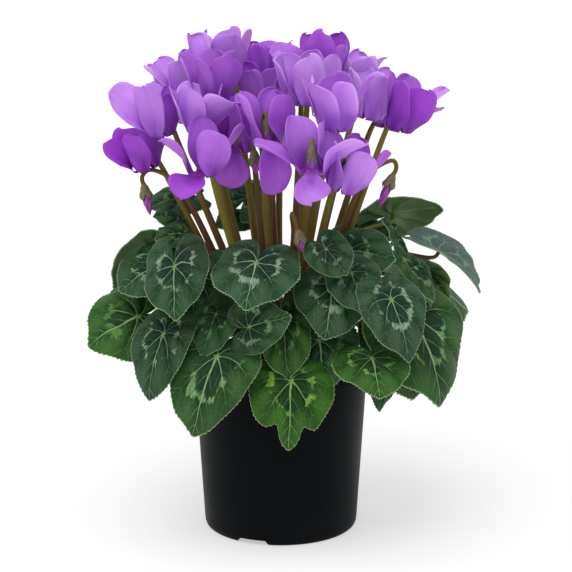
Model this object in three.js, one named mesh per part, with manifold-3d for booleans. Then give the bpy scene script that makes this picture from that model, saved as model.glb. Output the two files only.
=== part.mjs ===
// Potted cyclamen: a black plastic nursery pot with potting soil, a half-buried tuber whose crown carries
// every flower stem and leaf stalk, heart-shaped leaves over the rim, and swept-back violet blooms above.
// Millimetres, +Z up. The origin is the middle of the pot's foot on the surface that it stands on,
// and -Y is the front, the side that the largest leaves hang down on.
import * as THREE from "three";
import Module from "manifold-3d";
import { mergeVertices } from "three/addons/utils/BufferGeometryUtils.js";

const wasm = await Module();
wasm.setup();

// Pot.
const POT_HEIGHT = 112;
const RIM_RADIUS = 60;
const LIP_HEIGHT = 9;
const WALL_TOP_RADIUS = 56.2;
const FOOT_RADIUS = 49.8;
const FOOT_CORNER = 3;
const WALL = 1.6;
const FLOOR = 2.2;
const POT_SIDES = 30;
const NOTCH = { count: 3, bearing: 248, width: 24, top: 18, height: 3.4, depth: 14 };
const DRAIN = { radius: 3.5, from_edge: 9, sides: 12 };

// Soil and tuber.
const SOIL_TOP = 101;
const SOIL_BOTTOM_GAP = 0.4;
const SOIL_GAP = 0.35;
const SOIL_SIDES = 20;
const SOIL_RINGS = [0.4, 0.7];
const SOIL_GRAIN = 0.9;
const TUBER = { radius: 24, half_height: 11, middle: 97, sides: 14, rings: 7 };

// Stalks.
const STEM_SIDES = 4;
const PETIOLE_SIDES = 4;
const PETIOLE_STEPS = 3;
const PETIOLE_TIP = 2.5;
const STEM_RADIUS = { crown: 2.4, middle: 2.2, neck: 1.5, hook: 1.25 };
const PETIOLE_RADIUS = { crown: 1.7, blade: 1.3 };
const CALYX = { radius: 2.9, end: 2.1 };
const STEM_RINGS = [4, 7.5, 11];
const PETIOLE_RINGS = [13, 16, 19];
const CROWN_DEPTH = 98;

// Blades and petals.
const SEAT = 0.35;
const BLADE_SEAT = 0.6;
const LEAF_THICKNESS = 0.8;
const PETAL_THICKNESS = 0.7;
const TUBE = { length: 8, top_radius: 3, mouth_radius: 4.4 };
const PETALS = 5;
const PETAL_GAPS = [36, 108, 180, 252, 324];
const STEP = 0.8;
const STEPS = 80;
const CLEARANCE = 0.3;
const TOUCH = 1e-4;
const WELD = { least: 1, most: 45 };

// A leaf's outline: how far it reaches at each bearing from the tip, as a share of attach to tip.
const LEAF_OUTLINE = [
  [0, 1],
  [16, 0.87],
  [36, 0.8],
  [62, 0.74],
  [92, 0.7],
  [122, 0.7],
  [148, 0.67],
  [166, 0.38],
  [180, 0.1],
];

// A petal's rows: share of the length and half its width there, as a share of the widest half width.
const PETAL_ROWS = [
  [0.43, 0.96],
  [0.87, 0.8],
];
const PETAL_TIP = 1.0;
const BEND_WIDTH = 0.3;
const TWISTS = [24, 20, 26, 22, 24];
const EVEN = [1, 1, 1, 1, 1];

// Ways along which a piece makes room: back and down a little, or forward and up.
const BACK = [0, 1, -0.24];
const FORE = [0, -1, 0.24];

// Leaves, from the innermost out. attach is where the stalk meets the blade, tip is the end of the
// midrib, and face is the way the upper side looks. wide scales the breadth, arch bows the blade
// from attach to tip, cup bends its sides down, wave ripples the edge, skew turns the cleft and lobes
// scales the two lobes beside it. Leaves of one group touch, and are one node.
const LEAVES = [
  { name: "leaf_29", attach: [24, -58, 140], tip: [27, -66, 112], face: [0, -1, 0.35], wide: 0.92 },
  {
    name: "leaf_11", attach: [7, -72, 117], tip: [5, -81, 75],
    face: [0, -1, 0.35], wide: 0.78, arch: 0.12, lobes: 0.5,
  },
  {
    name: "leaf_26", attach: [76, -26, 128], tip: [84, -34, 98],
    face: [0.5, -0.8, 0.3], wide: 0.9, group: "leaves_26_27",
  },
  {
    name: "leaf_27", attach: [66, -24, 115], tip: [63, -32, 87],
    face: [0.3, -1, 0.2], wide: 0.5, way: FORE, group: "leaves_26_27",
  },
  {
    name: "leaf_14", attach: [84, -42, 150], tip: [101, -52, 95],
    face: [0.6, -0.8, 0.35], wide: 0.8, arch: 0.1, lobes: 0.6,
  },
  {
    name: "leaf_12", attach: [56, -68, 131], tip: [60, -92, 113],
    face: [0.1, -0.8, 0.6], wide: 1.0, way: FORE,
  },
  {
    name: "leaf_10", attach: [1, -58, 150], tip: [4, -72, 119],
    face: [0.1, -0.95, 0.3], wide: 0.62, cup: -0.3,
  },
  { name: "leaf_08", attach: [-40, -62, 157], tip: [-47, -75, 137], face: [-0.35, -0.9, 0.3], wide: 0.7 },
  {
    name: "leaf_07", attach: [-39, -76, 134], tip: [-54, -86, 86],
    face: [-0.2, -0.95, 0.3], wide: 0.66, arch: 0.13, lobes: 0.6,
  },
  { name: "leaf_09", attach: [-19, -76, 152], tip: [5, -82, 160], face: [0, -0.95, 0.35], wide: 0.85 },
  {
    name: "leaf_05", attach: [-90, -40, 150], tip: [-119, -48, 134],
    face: [-0.4, -0.75, 0.55], wide: 1.12,
  },
  {
    name: "leaf_06", attach: [-72, -70, 147], tip: [-81, -83, 109],
    face: [-0.35, -0.9, 0.3], wide: 0.6, arch: 0.13, lobes: 0.65,
  },
  {
    name: "leaf_04", attach: [-84, -8, 187], tip: [-108, -14, 161],
    face: [-0.3, 0.75, 0.6], wide: 0.8, lobes: 0.6, way: BACK,
  },
  {
    name: "leaf_03", group: "leaves_03_30", attach: [-76, -36, 184], tip: [-100, -48, 168],
    face: [-0.5, -0.7, 0.5], lobes: 1.2,
  },
  {
    name: "leaf_30", group: "leaves_03_30", attach: [-52, -30, 172], tip: [-57, -40, 140],
    face: [-0.1, -1, 0.25], wide: 0.85, way: FORE,
  },
  {
    name: "leaf_20", attach: [46, 2, 194], tip: [74, 10, 198],
    face: [0.1, -0.45, 1], wide: 0.75, way: BACK,
  },
  {
    name: "leaf_19", attach: [42, -28, 190], tip: [70, -40, 187],
    face: [0.1, -0.75, 0.7], wide: 0.8, way: FORE,
  },
  {
    name: "leaf_23", attach: [76, -10, 193], tip: [77, -26, 176],
    face: [0.95, -0.5, 0.2], wide: 0.7,
  },
  {
    name: "leaf_24", attach: [80, -28, 178], tip: [90, -36, 158],
    face: [0.8, -0.6, 0.2], wide: 0.7,
  },
  { name: "leaf_25", attach: [96, 8, 166], tip: [108, 2, 150], face: [0.5, -0.7, 0.5], wide: 0.9 },
  {
    name: "leaf_16", attach: [33, -62, 174], tip: [27, -80, 146],
    face: [0, -0.9, 0.45], wide: 0.9, skew: 14, lobes: 0.8,
  },
  {
    name: "leaf_18", attach: [44, -66, 184], tip: [50, -78, 165],
    face: [0.2, -0.9, 0.4], wide: 0.85, way: FORE,
  },
  {
    name: "leaf_17", attach: [28, -64, 199], tip: [41, -74, 184],
    face: [0, -0.85, 0.5], wide: 0.8, way: FORE,
  },
  {
    name: "leaf_13", attach: [65, -72, 169], tip: [76, -86, 133],
    face: [0.35, -0.9, 0.3], wide: 0.66, arch: 0.1, lobes: 0.7,
  },
  {
    name: "leaf_01", attach: [-65, -66, 188], tip: [-64, -90, 161],
    face: [-0.15, -0.85, 0.5], wide: 0.72, skew: -16, lobes: 1.5,
  },
  {
    name: "leaf_02", attach: [-15, -74, 192], tip: [-21, -100, 170],
    face: [-0.1, -0.8, 0.6], lobes: 1.6,
  },
  { name: "leaf_22", attach: [98, -5, 180], tip: [124, -8, 153], face: [0.6, -0.3, 0.75], wide: 0.75 },
  {
    name: "leaf_21", attach: [73, 20, 202], tip: [103, 8, 207],
    face: [0.05, 0.8, 0.7], wide: 0.85,
  },
  { name: "leaf_33", attach: [-64, -6, 196], tip: [-79, -12, 193], face: [-0.3, -0.6, 0.8], way: FORE },
  { name: "leaf_32", attach: [-66, 4, 204], tip: [-81, -2, 206], face: [-0.3, -0.5, 0.9], way: BACK },
  {
    name: "leaf_31", attach: [-64, 34, 213], tip: [-86, 28, 205],
    face: [-0.3, -0.6, 0.9], wide: 0.9, way: BACK,
  },
  {
    name: "leaf_36", attach: [-27, 32, 200], tip: [-41, 24, 196],
    face: [-0.2, -0.6, 0.8], wide: 0.9, way: BACK,
  },
  {
    name: "leaf_35", attach: [-22, 50, 210], tip: [-10, 68, 216],
    face: [0.1, -0.3, 1], wide: 0.9, way: BACK,
  },
  {
    name: "leaf_41", group: "leaves_41_46", attach: [70, 58, 166], tip: [96, 78, 140],
    face: [0.5, 0.6, 0.7], wide: 0.85,
  },
  {
    name: "leaf_42", attach: [24, 78, 164], tip: [34, 108, 140],
    face: [0.1, 0.7, 0.7], group: "leaves_42_43",
  },
  {
    name: "leaf_43", attach: [-18, 80, 166], tip: [-26, 108, 142],
    face: [-0.2, 0.7, 0.7], group: "leaves_42_43",
  },
  {
    name: "leaf_44", group: "leaves_44_45", attach: [-66, 58, 168], tip: [-92, 76, 144],
    face: [-0.5, 0.5, 0.7], wide: 0.85,
  },
  {
    name: "leaf_45", group: "leaves_44_45", attach: [-88, 34, 158], tip: [-114, 42, 130],
    face: [-0.7, 0.2, 0.7], wide: 0.9,
  },
  {
    name: "leaf_46", group: "leaves_41_46", attach: [88, 42, 148], tip: [112, 52, 114],
    face: [0.8, 0.4, 0.5], wide: 0.75,
  },
  {
    name: "leaf_47", attach: [4, 76, 126], tip: [6, 92, 88],
    face: [0, 0.9, 0.4], wide: 0.8, group: "leaves_47_48",
  },
  {
    name: "leaf_48", attach: [-40, 70, 126], tip: [-52, 86, 90],
    face: [-0.4, 0.85, 0.4], wide: 0.8, group: "leaves_47_48",
  },
];

// Blooms, from the front of the head to its back. mouth is the middle of the tube's mouth and lean the
// way the petals are swept. spin is the bearing of the first petal from the front, and flares are how
// far each of the five petals opens from the tube's line, in degrees. Blooms of one group touch.
const BLOOMS = [
  {
    name: "bloom_10", group: "blooms_10_11", mouth: [19, -70, 251], lean: [0, -0.1, 1],
    spin: 0, flares: [165, 60, 14, 20, 66], twists: [0, 30, 60, 10, 20],
    scale: [0.52, 1.05, 0.9, 1, 1.08],
  },
  {
    name: "bloom_11", group: "blooms_10_11", mouth: [38, -60, 238], lean: [0.28, -0.1, 1],
    spin: -45, flares: [18, 26, 40, 20, 30], twists: [20, 40, 20, 0, 10],
  },
  {
    name: "bloom_03", mouth: [-47, -55, 247], lean: [0, -0.1, 1],
    spin: -30, flares: [115, 18, 48, 12, 55], twists: [10, 60, 30, 10, -20], scale: [0.7, 0.9, 1, 1, 0.8],
  },
  {
    name: "bloom_09", mouth: [-8, -42, 263], lean: [0, -0.05, 1],
    spin: 20, flares: [168, 14, 20, 22, 30], twists: [0, 50, 10, 10, 20], scale: [0.9, 0.95, 1, 1, 1.1],
  },
  {
    name: "bloom_12", mouth: [34, -45, 273], lean: [0, -0.05, 1],
    spin: -40, flares: [24, 10, 34, 18, 30], twists: [10, 60, 20, 0, 10], scale: [1.05, 0.95, 1.05, 1, 1],
  },
  {
    name: "bloom_17", mouth: [75, -15, 268], lean: [0.3, -0.05, 1],
    spin: -30, flares: [14, 12, 34, 25, 20], twists: [20, 50, 20, 0, 10],
  },
  {
    name: "bloom_01", group: "blooms_01_02", mouth: [-76, -10, 264], lean: [-0.1, -0.1, 1],
    spin: -88, flares: [48, 24, 4, 8, 30], twists: [70, 20, 15, 0, 10],
    scale: [1.1, 1.05, 0.8, 0.9, 0.9],
  },
  {
    name: "bloom_02", group: "blooms_01_02", mouth: [-86, -5, 241], lean: [-0.3, -0.05, 1],
    spin: -75, flares: [34, 12, 10, 10, 22], twists: [55, 20, 20, 0, 10],
    scale: [0.95, 0.85, 0.8, 0.8, 0.85],
  },
  {
    name: "bloom_04", group: "blooms_04_06", mouth: [-50, -30, 270], lean: [-0.1, 0, 1],
    spin: -20, flares: [14, 60, 25, 15, 25], twists: [15, 30, 10, 0, 10], scale: [0.9, 0.9, 0.9, 0.9, 0.9],
  },
  {
    name: "bloom_16", group: "blooms_15_16", mouth: [57, -5, 275], lean: [0.2, 0, 1], spin: 10,
    flares: [22, 28, 20, 25, 30],
  },
  { name: "bloom_14", mouth: [15, -10, 283], lean: [0, 0, 1], spin: -60, flares: [32, 15, 30, 20, 25] },
  {
    name: "bloom_06", group: "blooms_04_06", mouth: [-42, -5, 283], lean: [-0.05, 0, 1], spin: -30,
    flares: [14, 24, 20, 20, 25],
  },
  {
    name: "bloom_19", mouth: [-27, -12, 254], lean: [0, 0, 1], spin: -20,
    flares: [160, 24, 22, 22, 24], scale: [0.7, 1, 1, 1, 1],
  },
  { name: "bloom_07", mouth: [-37, 28, 293], lean: [0, 0, 1], spin: -50, flares: [20, 20, 22, 25, 40] },
  {
    name: "bloom_18", group: "blooms_08_18", mouth: [-19, -5, 280], lean: [0, 0, 1], spin: 0,
    flares: [20, 20, 25, 20, 20],
  },
  {
    name: "bloom_08", group: "blooms_08_18", mouth: [-9, 26, 291], lean: [0, 0, 1], spin: -35,
    flares: [12, 22, 20, 20, 22],
  },
  {
    name: "bloom_05", mouth: [-62, 24, 283], lean: [-0.25, 0, 1],
    spin: -65, flares: [30, 22, 10, 15, 20], scale: [0.95, 0.9, 0.9, 0.9, 0.9],
  },
  {
    name: "bloom_13", mouth: [27, 20, 291], lean: [0.02, 0, 1],
    spin: -5, flares: [10, 18, 20, 25, 72], twists: [20, 20, 10, 0, 40],
  },
  {
    name: "bloom_15", group: "blooms_15_16", mouth: [46, 25, 281], lean: [0.1, 0, 1], spin: -45,
    flares: [22, 22, 20, 22, 22],
  },
  { name: "bloom_20", mouth: [-60, 60, 262], lean: [-0.25, 0.2, 1], spin: 0, flares: [25, 25, 35, 60, 30] },
  {
    name: "bloom_21", mouth: [-10, 72, 262], lean: [-0.05, 0.25, 1], spin: 20,
    flares: [15, 25, 160, 35, 30],
  },
  { name: "bloom_22", mouth: [30, 62, 264], lean: [0.1, 0.25, 1], spin: -20, flares: [15, 30, 60, 30, 25] },
  { name: "bloom_23", mouth: [70, 36, 260], lean: [0.3, 0.15, 1], spin: 10, flares: [25, 55, 30, 30, 15] },
];

// Buds: neck is the top of the petals, hang the way the bud points, long the rolled petals' length.
const BUDS = [
  { name: "bud_1", neck: [-86, -6, 222], hang: [0.2, 0, -1], long: 14, over: 20 },
  { name: "bud_2", neck: [69, -12, 230], hang: [-0.42, 0, -1], long: 17 },
  { name: "bud_3", neck: [-16, -34, 249], hang: [0.1, 0, -1], long: 9 },
  { name: "bud_4", neck: [12, -60, 204], hang: [0.25, -0.1, -1], long: 8 },
];

const rad = THREE.MathUtils.degToRad;
const vec = (p) => new THREE.Vector3(...p);
const mix = THREE.MathUtils.lerp;
const FRONT = new THREE.Vector3(0, -1, 0);
const UP = new THREE.Vector3(0, 0, 1);

const look = {
  pot: new THREE.MeshStandardMaterial({ color: 0x14171a, roughness: 0.45, metalness: 0 }),
  soil: new THREE.MeshStandardMaterial({ color: 0x2b1d13, roughness: 0.95, metalness: 0 }),
  stalk: new THREE.MeshStandardMaterial({ color: 0x6b5a35, roughness: 0.6, metalness: 0 }),
  leaf: new THREE.MeshStandardMaterial({ color: 0x2f5a35, roughness: 0.5, metalness: 0 }),
  petal: new THREE.MeshStandardMaterial({ color: 0xa45bd6, roughness: 0.55, metalness: 0 }),
  bud: new THREE.MeshStandardMaterial({ color: 0x9a2fa8, roughness: 0.55, metalness: 0 }),
};

// Solids
function solidOf(geometry) {
  const bare = new THREE.BufferGeometry();
  bare.setAttribute("position", geometry.getAttribute("position"));
  if (geometry.index) bare.setIndex(geometry.index);
  const merged = mergeVertices(bare, 1e-3);
  const index = [...merged.index.array];
  const faces = [];
  for (let i = 0; i < index.length; i += 3) {
    const [a, b, c] = index.slice(i, i + 3);
    if (a !== b && b !== c && c !== a) faces.push(a, b, c);
  }
  const points = new Float32Array(merged.attributes.position.array);
  const solid = (order) => {
    const triVerts = new Uint32Array(order);
    return new wasm.Manifold(new wasm.Mesh({ numProp: 3, vertProperties: points, triVerts }));
  };
  const first = solid(faces);
  return first.volume() > 0 ? first : solid([...faces].reverse());
}

function geometryOf(solid) {
  const mesh = solid.getMesh();
  const geometry = new THREE.BufferGeometry();
  geometry.setAttribute("position", new THREE.BufferAttribute(mesh.vertProperties, 3));
  geometry.setIndex(new THREE.BufferAttribute(mesh.triVerts, 1));
  geometry.computeVertexNormals();
  return geometry;
}

function indexed(points, faces) {
  const geometry = new THREE.BufferGeometry();
  const numbers = points.flatMap((p) => p.toArray());
  geometry.setAttribute("position", new THREE.Float32BufferAttribute(numbers, 3));
  geometry.setIndex(faces.flat());
  geometry.computeVertexNormals();
  return geometry;
}

// A thin body: the sheet's points moved half a thickness to both sides, with its open edges walled.
function sheetSolid(points, faces, thickness) {
  const attribute = indexed(points, faces).getAttribute("normal");
  const normals = points.map((_, i) => new THREE.Vector3().fromBufferAttribute(attribute, i));
  const count = points.length;
  const sides = [thickness / 2, -thickness / 2].map((offset) =>
    points.map((p, i) => p.clone().addScaledVector(normals[i], offset)),
  );
  const edges = new Map();
  for (const [a, b, c] of faces) {
    for (const [from, to] of [[a, b], [b, c], [c, a]]) {
      if (edges.has(`${to} ${from}`)) edges.delete(`${to} ${from}`);
      else edges.set(`${from} ${to}`, [from, to]);
    }
  }
  const walls = [...edges.values()].flatMap(([a, b]) => [
    [b, a, a + count],
    [b, a + count, b + count],
  ]);
  const under = faces.map(([a, b, c]) => [c + count, b + count, a + count]);
  return solidOf(indexed([...sides[0], ...sides[1]], [...faces, ...under, ...walls]));
}

// A tapering stalk of flat-sided rings through its points.
function stalkSolid(points, radii, sides) {
  const last = points.length - 1;
  const rings = [];
  let across = null;
  points.forEach((point, i) => {
    const along = points[Math.min(i + 1, last)].clone().sub(points[Math.max(i - 1, 0)]).normalize();
    if (!across) across = Math.abs(along.x) < 0.9 ? new THREE.Vector3(1, 0, 0) : new THREE.Vector3(0, 1, 0);
    across.addScaledVector(along, -across.dot(along)).normalize();
    const third = along.clone().cross(across);
    for (let k = 0; k < sides; k += 1) {
      const turn = (2 * Math.PI * k) / sides;
      const spoke = across.clone().multiplyScalar(Math.cos(turn)).addScaledVector(third, Math.sin(turn));
      rings.push(point.clone().addScaledVector(spoke, radii[i]));
    }
  });
  const faces = [];
  for (let i = 0; i < last; i += 1) {
    for (let k = 0; k < sides; k += 1) {
      const [a, b] = [i * sides + k, i * sides + ((k + 1) % sides)];
      faces.push([a, b, b + sides], [a, b + sides, a + sides]);
    }
  }
  for (let k = 1; k < sides - 1; k += 1) {
    faces.push([0, k + 1, k], [last * sides, last * sides + k, last * sides + k + 1]);
  }
  return solidOf(indexed(rings, faces));
}

const apart = (a, b) => {
  const [one, two] = [a.boundingBox(), b.boundingBox()];
  return [0, 1, 2].some((i) => one.min[i] > two.max[i] || two.min[i] > one.max[i]);
};
const shared = (a, b) => (apart(a, b) ? 0 : a.intersect(b).volume());
const clears = (solid, others) => others.every((other) => shared(solid, other) < TOUCH);

// A piece slides along its way by short steps until it clears what is there already and its peg, the
// start of its stalk, has room too. It just meets the pieces of its own group.
function settle(make, peg, way, others, mates, all) {
  for (let i = 0; i <= STEPS; i += 1) {
    const shift = way.clone().multiplyScalar(i * STEP);
    const joint = mates ? shared(make(shift, 0), mates) : WELD.least;
    if (joint < WELD.least || joint > WELD.most) continue;
    if (clears(make(shift, 2 * CLEARANCE), others) && clears(peg(shift), all)) return shift;
  }
  return new THREE.Vector3();
}

// The first way of running a stalk that clears every blade and petal.
function route(make, options, others) {
  const open = options.find((option) => clears(make(option, CLEARANCE), others));
  return make(open ?? options[0], 0);
}

// Leaf
function leafSheet(leaf, shift) {
  const { wide = 1, arch = 0.08, cup = 0.22, wave = 0.03, skew = 0, lobes = 1 } = leaf;
  const attach = vec(leaf.attach).add(shift);
  const along = vec(leaf.tip).sub(vec(leaf.attach));
  const long = along.length();
  along.normalize();
  const face = vec(leaf.face);
  face.addScaledVector(along, -face.dot(along)).normalize();
  const across = along.clone().cross(face);
  const place = (bearing, share, reach) => {
    const turn = rad(bearing);
    const x = Math.sin(turn) * share * reach * wide;
    const ahead = Math.cos(turn) * share * reach;
    const y = ahead < 0 ? ahead * lobes : ahead;
    const bow = 4 * arch * y * (1 - y);
    const sag = cup * x * x;
    const ripple = wave * share * share * Math.sin(3 * turn + 0.6);
    return attach
      .clone()
      .addScaledVector(across, x * long)
      .addScaledVector(along, y * long)
      .addScaledVector(face, (bow - sag + ripple) * long);
  };
  const half = LEAF_OUTLINE.length - 1;
  const outer = [];
  for (let i = 0; i < 2 * half; i += 1) {
    const side = i <= half ? 1 : -1;
    const [bearing, reach] = LEAF_OUTLINE[i <= half ? i : 2 * half - i];
    const tooth = i % 2 ? 1.02 : 0.99;
    const turned = side * bearing + skew * (bearing / 180) ** 2;
    outer.push([turned, reach * tooth]);
  }
  const points = [place(0, 0, 0)];
  for (let i = 0; i < outer.length; i += 2) points.push(place(outer[i][0], 0.5, outer[i][1]));
  for (const [bearing, reach] of outer) points.push(place(bearing, 1, reach));
  const ring = outer.length / 2;
  const faces = [];
  for (let i = 0; i < ring; i += 1) {
    const next = (i + 1) % ring;
    const [a, b] = [1 + i, 1 + next];
    const [p, q, r] = [1 + ring + 2 * i, 2 + ring + 2 * i, 1 + ring + ((2 * i + 2) % outer.length)];
    faces.push([0, a, b], [a, p, q], [a, q, b], [b, q, r]);
  }
  return { points, faces: faces.map(([a, b, c]) => [a, c, b]) };
}

function leafSolid(leaf, shift, extra = 0) {
  const { points, faces } = leafSheet(leaf, shift);
  return sheetSolid(points, faces, LEAF_THICKNESS + extra);
}

// Where a leaf's stalk ends, just under the blade, and the way the blade looks there.
function leafSeat(leaf, shift) {
  const { points, faces } = leafSheet(leaf, shift);
  const normal = new THREE.Vector3().fromBufferAttribute(indexed(points, faces).getAttribute("normal"), 0);
  return { normal, point: points[0].clone().addScaledVector(normal, -LEAF_THICKNESS / 2 - BLADE_SEAT) };
}

function petiolePeg(leaf, shift) {
  const { normal, point } = leafSeat(leaf, shift);
  const low = point.clone().addScaledVector(normal, -2 * PETIOLE_TIP);
  return stalkSolid([low, point], [PETIOLE_RADIUS.crown, PETIOLE_RADIUS.blade], PETIOLE_SIDES);
}

const PETIOLE_SHAPES = [[0.45, 0.28], [0.3, 0.4], [0.6, 0.18], [0.2, 0.55], [0.75, 0.3], [1.0, 0.12]];
const PETIOLE_OPTIONS = [0, 12, -12, 24, -24, 36, -36, 50, -50].flatMap((turn) =>
  PETIOLE_SHAPES.map(([rise, under]) => ({ turn, rise, under })),
);

function petioleSolid(leaf, shift, option, extra) {
  const { normal, point } = leafSeat(leaf, shift);
  const low = point.clone().addScaledVector(normal, -PETIOLE_TIP);
  const bearing = Math.atan2(point.y, point.x) + rad(option.turn);
  const out = new THREE.Vector3(Math.cos(bearing), Math.sin(bearing), 0);
  const ring = PETIOLE_RINGS[LEAVES.indexOf(leaf) % PETIOLE_RINGS.length];
  const foot = out.clone().multiplyScalar(ring).setZ(CROWN_DEPTH);
  const span = foot.distanceTo(point);
  const rise = foot.clone().addScaledVector(UP, option.rise * span).addScaledVector(out, 0.12 * span);
  const under = low.clone().addScaledVector(normal, -option.under * span);
  const points = [...new THREE.CubicBezierCurve3(foot, rise, under, low).getPoints(PETIOLE_STEPS), point];
  const thin = (i) => mix(PETIOLE_RADIUS.crown, PETIOLE_RADIUS.blade, Math.min(1, i / PETIOLE_STEPS));
  return stalkSolid(points, points.map((_, i) => thin(i) + extra), PETIOLE_SIDES);
}

// Bloom
function bloomFrame(bloom, shift) {
  const up = vec(bloom.lean).normalize();
  const front = FRONT.clone().addScaledVector(up, -FRONT.dot(up)).normalize();
  const right = up.clone().cross(front);
  const top = vec(bloom.mouth).add(shift).addScaledVector(up, TUBE.length);
  const outward = (bearing) =>
    front.clone().multiplyScalar(Math.cos(rad(bearing))).addScaledVector(right, Math.sin(rad(bearing)));
  return { up, top, outward };
}

function petalPath(flare, long) {
  const hanging = flare > 100;
  const start = hanging ? flare - 25 : 0.35 * flare;
  const bend = hanging ? { r: 6.4, z: -11.5, angle: flare } : { r: 9, z: -10, angle: 20 };
  let { r, z } = bend;
  const steps = 24;
  const track = [[r, z, start]];
  for (let i = 1; i <= steps; i += 1) {
    const t = i / steps;
    const angle = mix(start, flare, Math.min(1, 1.6 * t));
    r += (long / steps) * Math.sin(rad(angle));
    z += (long / steps) * Math.cos(rad(angle));
    track.push([r, z, angle]);
  }
  return { bend, at: (t) => track[Math.round(t * steps)] };
}

function bloomSheet(bloom, shift) {
  const { up, top, outward } = bloomFrame(bloom, shift);
  const { long = 31, wide = 11, spin = 0, flares, twists = TWISTS, scale = EVEN } = bloom;
  const ringSize = 2 * PETALS;
  const spot = (bearing, r, z) => top.clone().addScaledVector(outward(bearing), r).addScaledVector(up, z);
  const points = [];
  for (const [radius, z] of [[TUBE.top_radius, 0], [TUBE.mouth_radius, -TUBE.length]]) {
    for (let i = 0; i < ringSize; i += 1) points.push(spot(spin + 36 * i, radius, z));
  }
  const faces = [];
  for (let i = 0; i < ringSize; i += 1) {
    const next = (i + 1) % ringSize;
    faces.push([i, next, next + ringSize], [i, next + ringSize, i + ringSize]);
  }
  flares.forEach((flare, k) => {
    const bearing = spin + 72 * k;
    const out = outward(bearing);
    const side = outward(bearing + 90);
    const path = petalPath(flare, long * scale[k]);
    const rows = [[path.bend.r, path.bend.z, path.bend.angle, BEND_WIDTH, 0]];
    for (const [t, width] of PETAL_ROWS) rows.push([...path.at(t), width, t]);
    let before = [2 * k + ringSize - 1, 2 * k, 2 * k + 1].map((i) => ringSize + (i % ringSize));
    rows.forEach(([r, z, angle, width, t], row) => {
      const normal = out.clone().multiplyScalar(Math.cos(rad(angle)));
      normal.addScaledVector(up, -Math.sin(rad(angle)));
      const turn = rad(twists[k] * Math.min(1, 2.6 * t));
      const across = side.clone().multiplyScalar(Math.cos(turn)).addScaledVector(normal, Math.sin(turn));
      const lift = normal.clone().multiplyScalar(-0.16 * width * wide * t);
      const middle = spot(bearing, r, z);
      const tip = row === rows.length - 1 ? path.at(PETAL_TIP) : null;
      const first = points.length;
      points.push(middle.clone().addScaledVector(across, -width * wide).add(lift));
      points.push(tip ? spot(bearing, tip[0], tip[1]) : middle);
      points.push(middle.clone().addScaledVector(across, width * wide).add(lift));
      const here = [first, first + 1, first + 2];
      for (const i of [0, 1]) {
        faces.push([before[i], before[i + 1], here[i + 1]], [before[i], here[i + 1], here[i]]);
      }
      before = here;
    });
  });
  return { points, faces };
}

function bloomSolid(bloom, shift, extra = 0) {
  const { points, faces } = bloomSheet(bloom, shift);
  return sheetSolid(points, faces, PETAL_THICKNESS + extra);
}

// A flower stem rises from the crown, passes between two petals, hooks over and ends in the calyx.
const BOWS = [0, 7, 14, 21].flatMap((far) =>
  (far ? [0, 45, 90, 135, 180, 225, 270, 315] : [0]).map((bearing) => [
    far * Math.sin(rad(bearing)),
    -far * Math.cos(rad(bearing)),
  ]),
);
const STEM_OPTIONS = [0, 1, 2, 3, 4].flatMap((order) => BOWS.map((bow) => ({ order, bow })));

function stemHook(bloom, shift, order) {
  const { up, top, outward } = bloomFrame(bloom, shift);
  const inward = new THREE.Vector3(-top.x, -top.y + 12, 0);
  const gaps = PETAL_GAPS.map((turn) => outward((bloom.spin ?? 0) + turn));
  gaps.sort((a, b) => b.dot(inward) - a.dot(inward));
  const at = (r, z) => top.clone().addScaledVector(gaps[order], r).addScaledVector(up, z);
  return { top, hook: [at(9.8, -15), at(7.8, -5), at(7, 4), at(4, 8), at(0, 4), at(0, SEAT)] };
}

function stemPeg(bloom, shift) {
  const { hook } = stemHook(bloom, shift, 0);
  const radii = hook.map((_, i) => (i < 4 ? STEM_RADIUS.hook : CALYX.end) + 2 * CLEARANCE);
  return stalkSolid(hook, radii, STEM_SIDES);
}

function stemSolid(bloom, shift, option, extra) {
  const { top, hook } = stemHook(bloom, shift, option.order);
  const bearing = Math.atan2(top.y, top.x);
  const far = STEM_RINGS[BLOOMS.indexOf(bloom) % STEM_RINGS.length];
  const ring = Math.min(far, Math.hypot(top.x, top.y) / 3);
  const foot = new THREE.Vector3(ring * Math.cos(bearing), ring * Math.sin(bearing), CROWN_DEPTH + 3);
  const middle = foot.clone().lerp(hook[0], 0.5).add(new THREE.Vector3(...option.bow, 0));
  const { crown, middle: mid, neck, hook: thin } = STEM_RADIUS;
  const radii = [crown, mid, neck, thin, thin, thin, CALYX.radius, CALYX.end];
  return stalkSolid([foot, middle, ...hook], radii.map((radius) => radius + extra), STEM_SIDES);
}

// Bud
function budFrame(bud) {
  const hang = vec(bud.hang).normalize();
  return { hang, neck: vec(bud.neck) };
}

function budSolid(bud, shift, extra = 0) {
  const { hang, neck } = budFrame(bud);
  const spots = [0, 0.3, 0.7, 1].map((t) => neck.clone().addScaledVector(hang, t * bud.long));
  return stalkSolid(spots, [2.3, 2.7, 1.9, 0.7].map((radius) => radius + extra), STEM_SIDES + 1);
}

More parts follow.
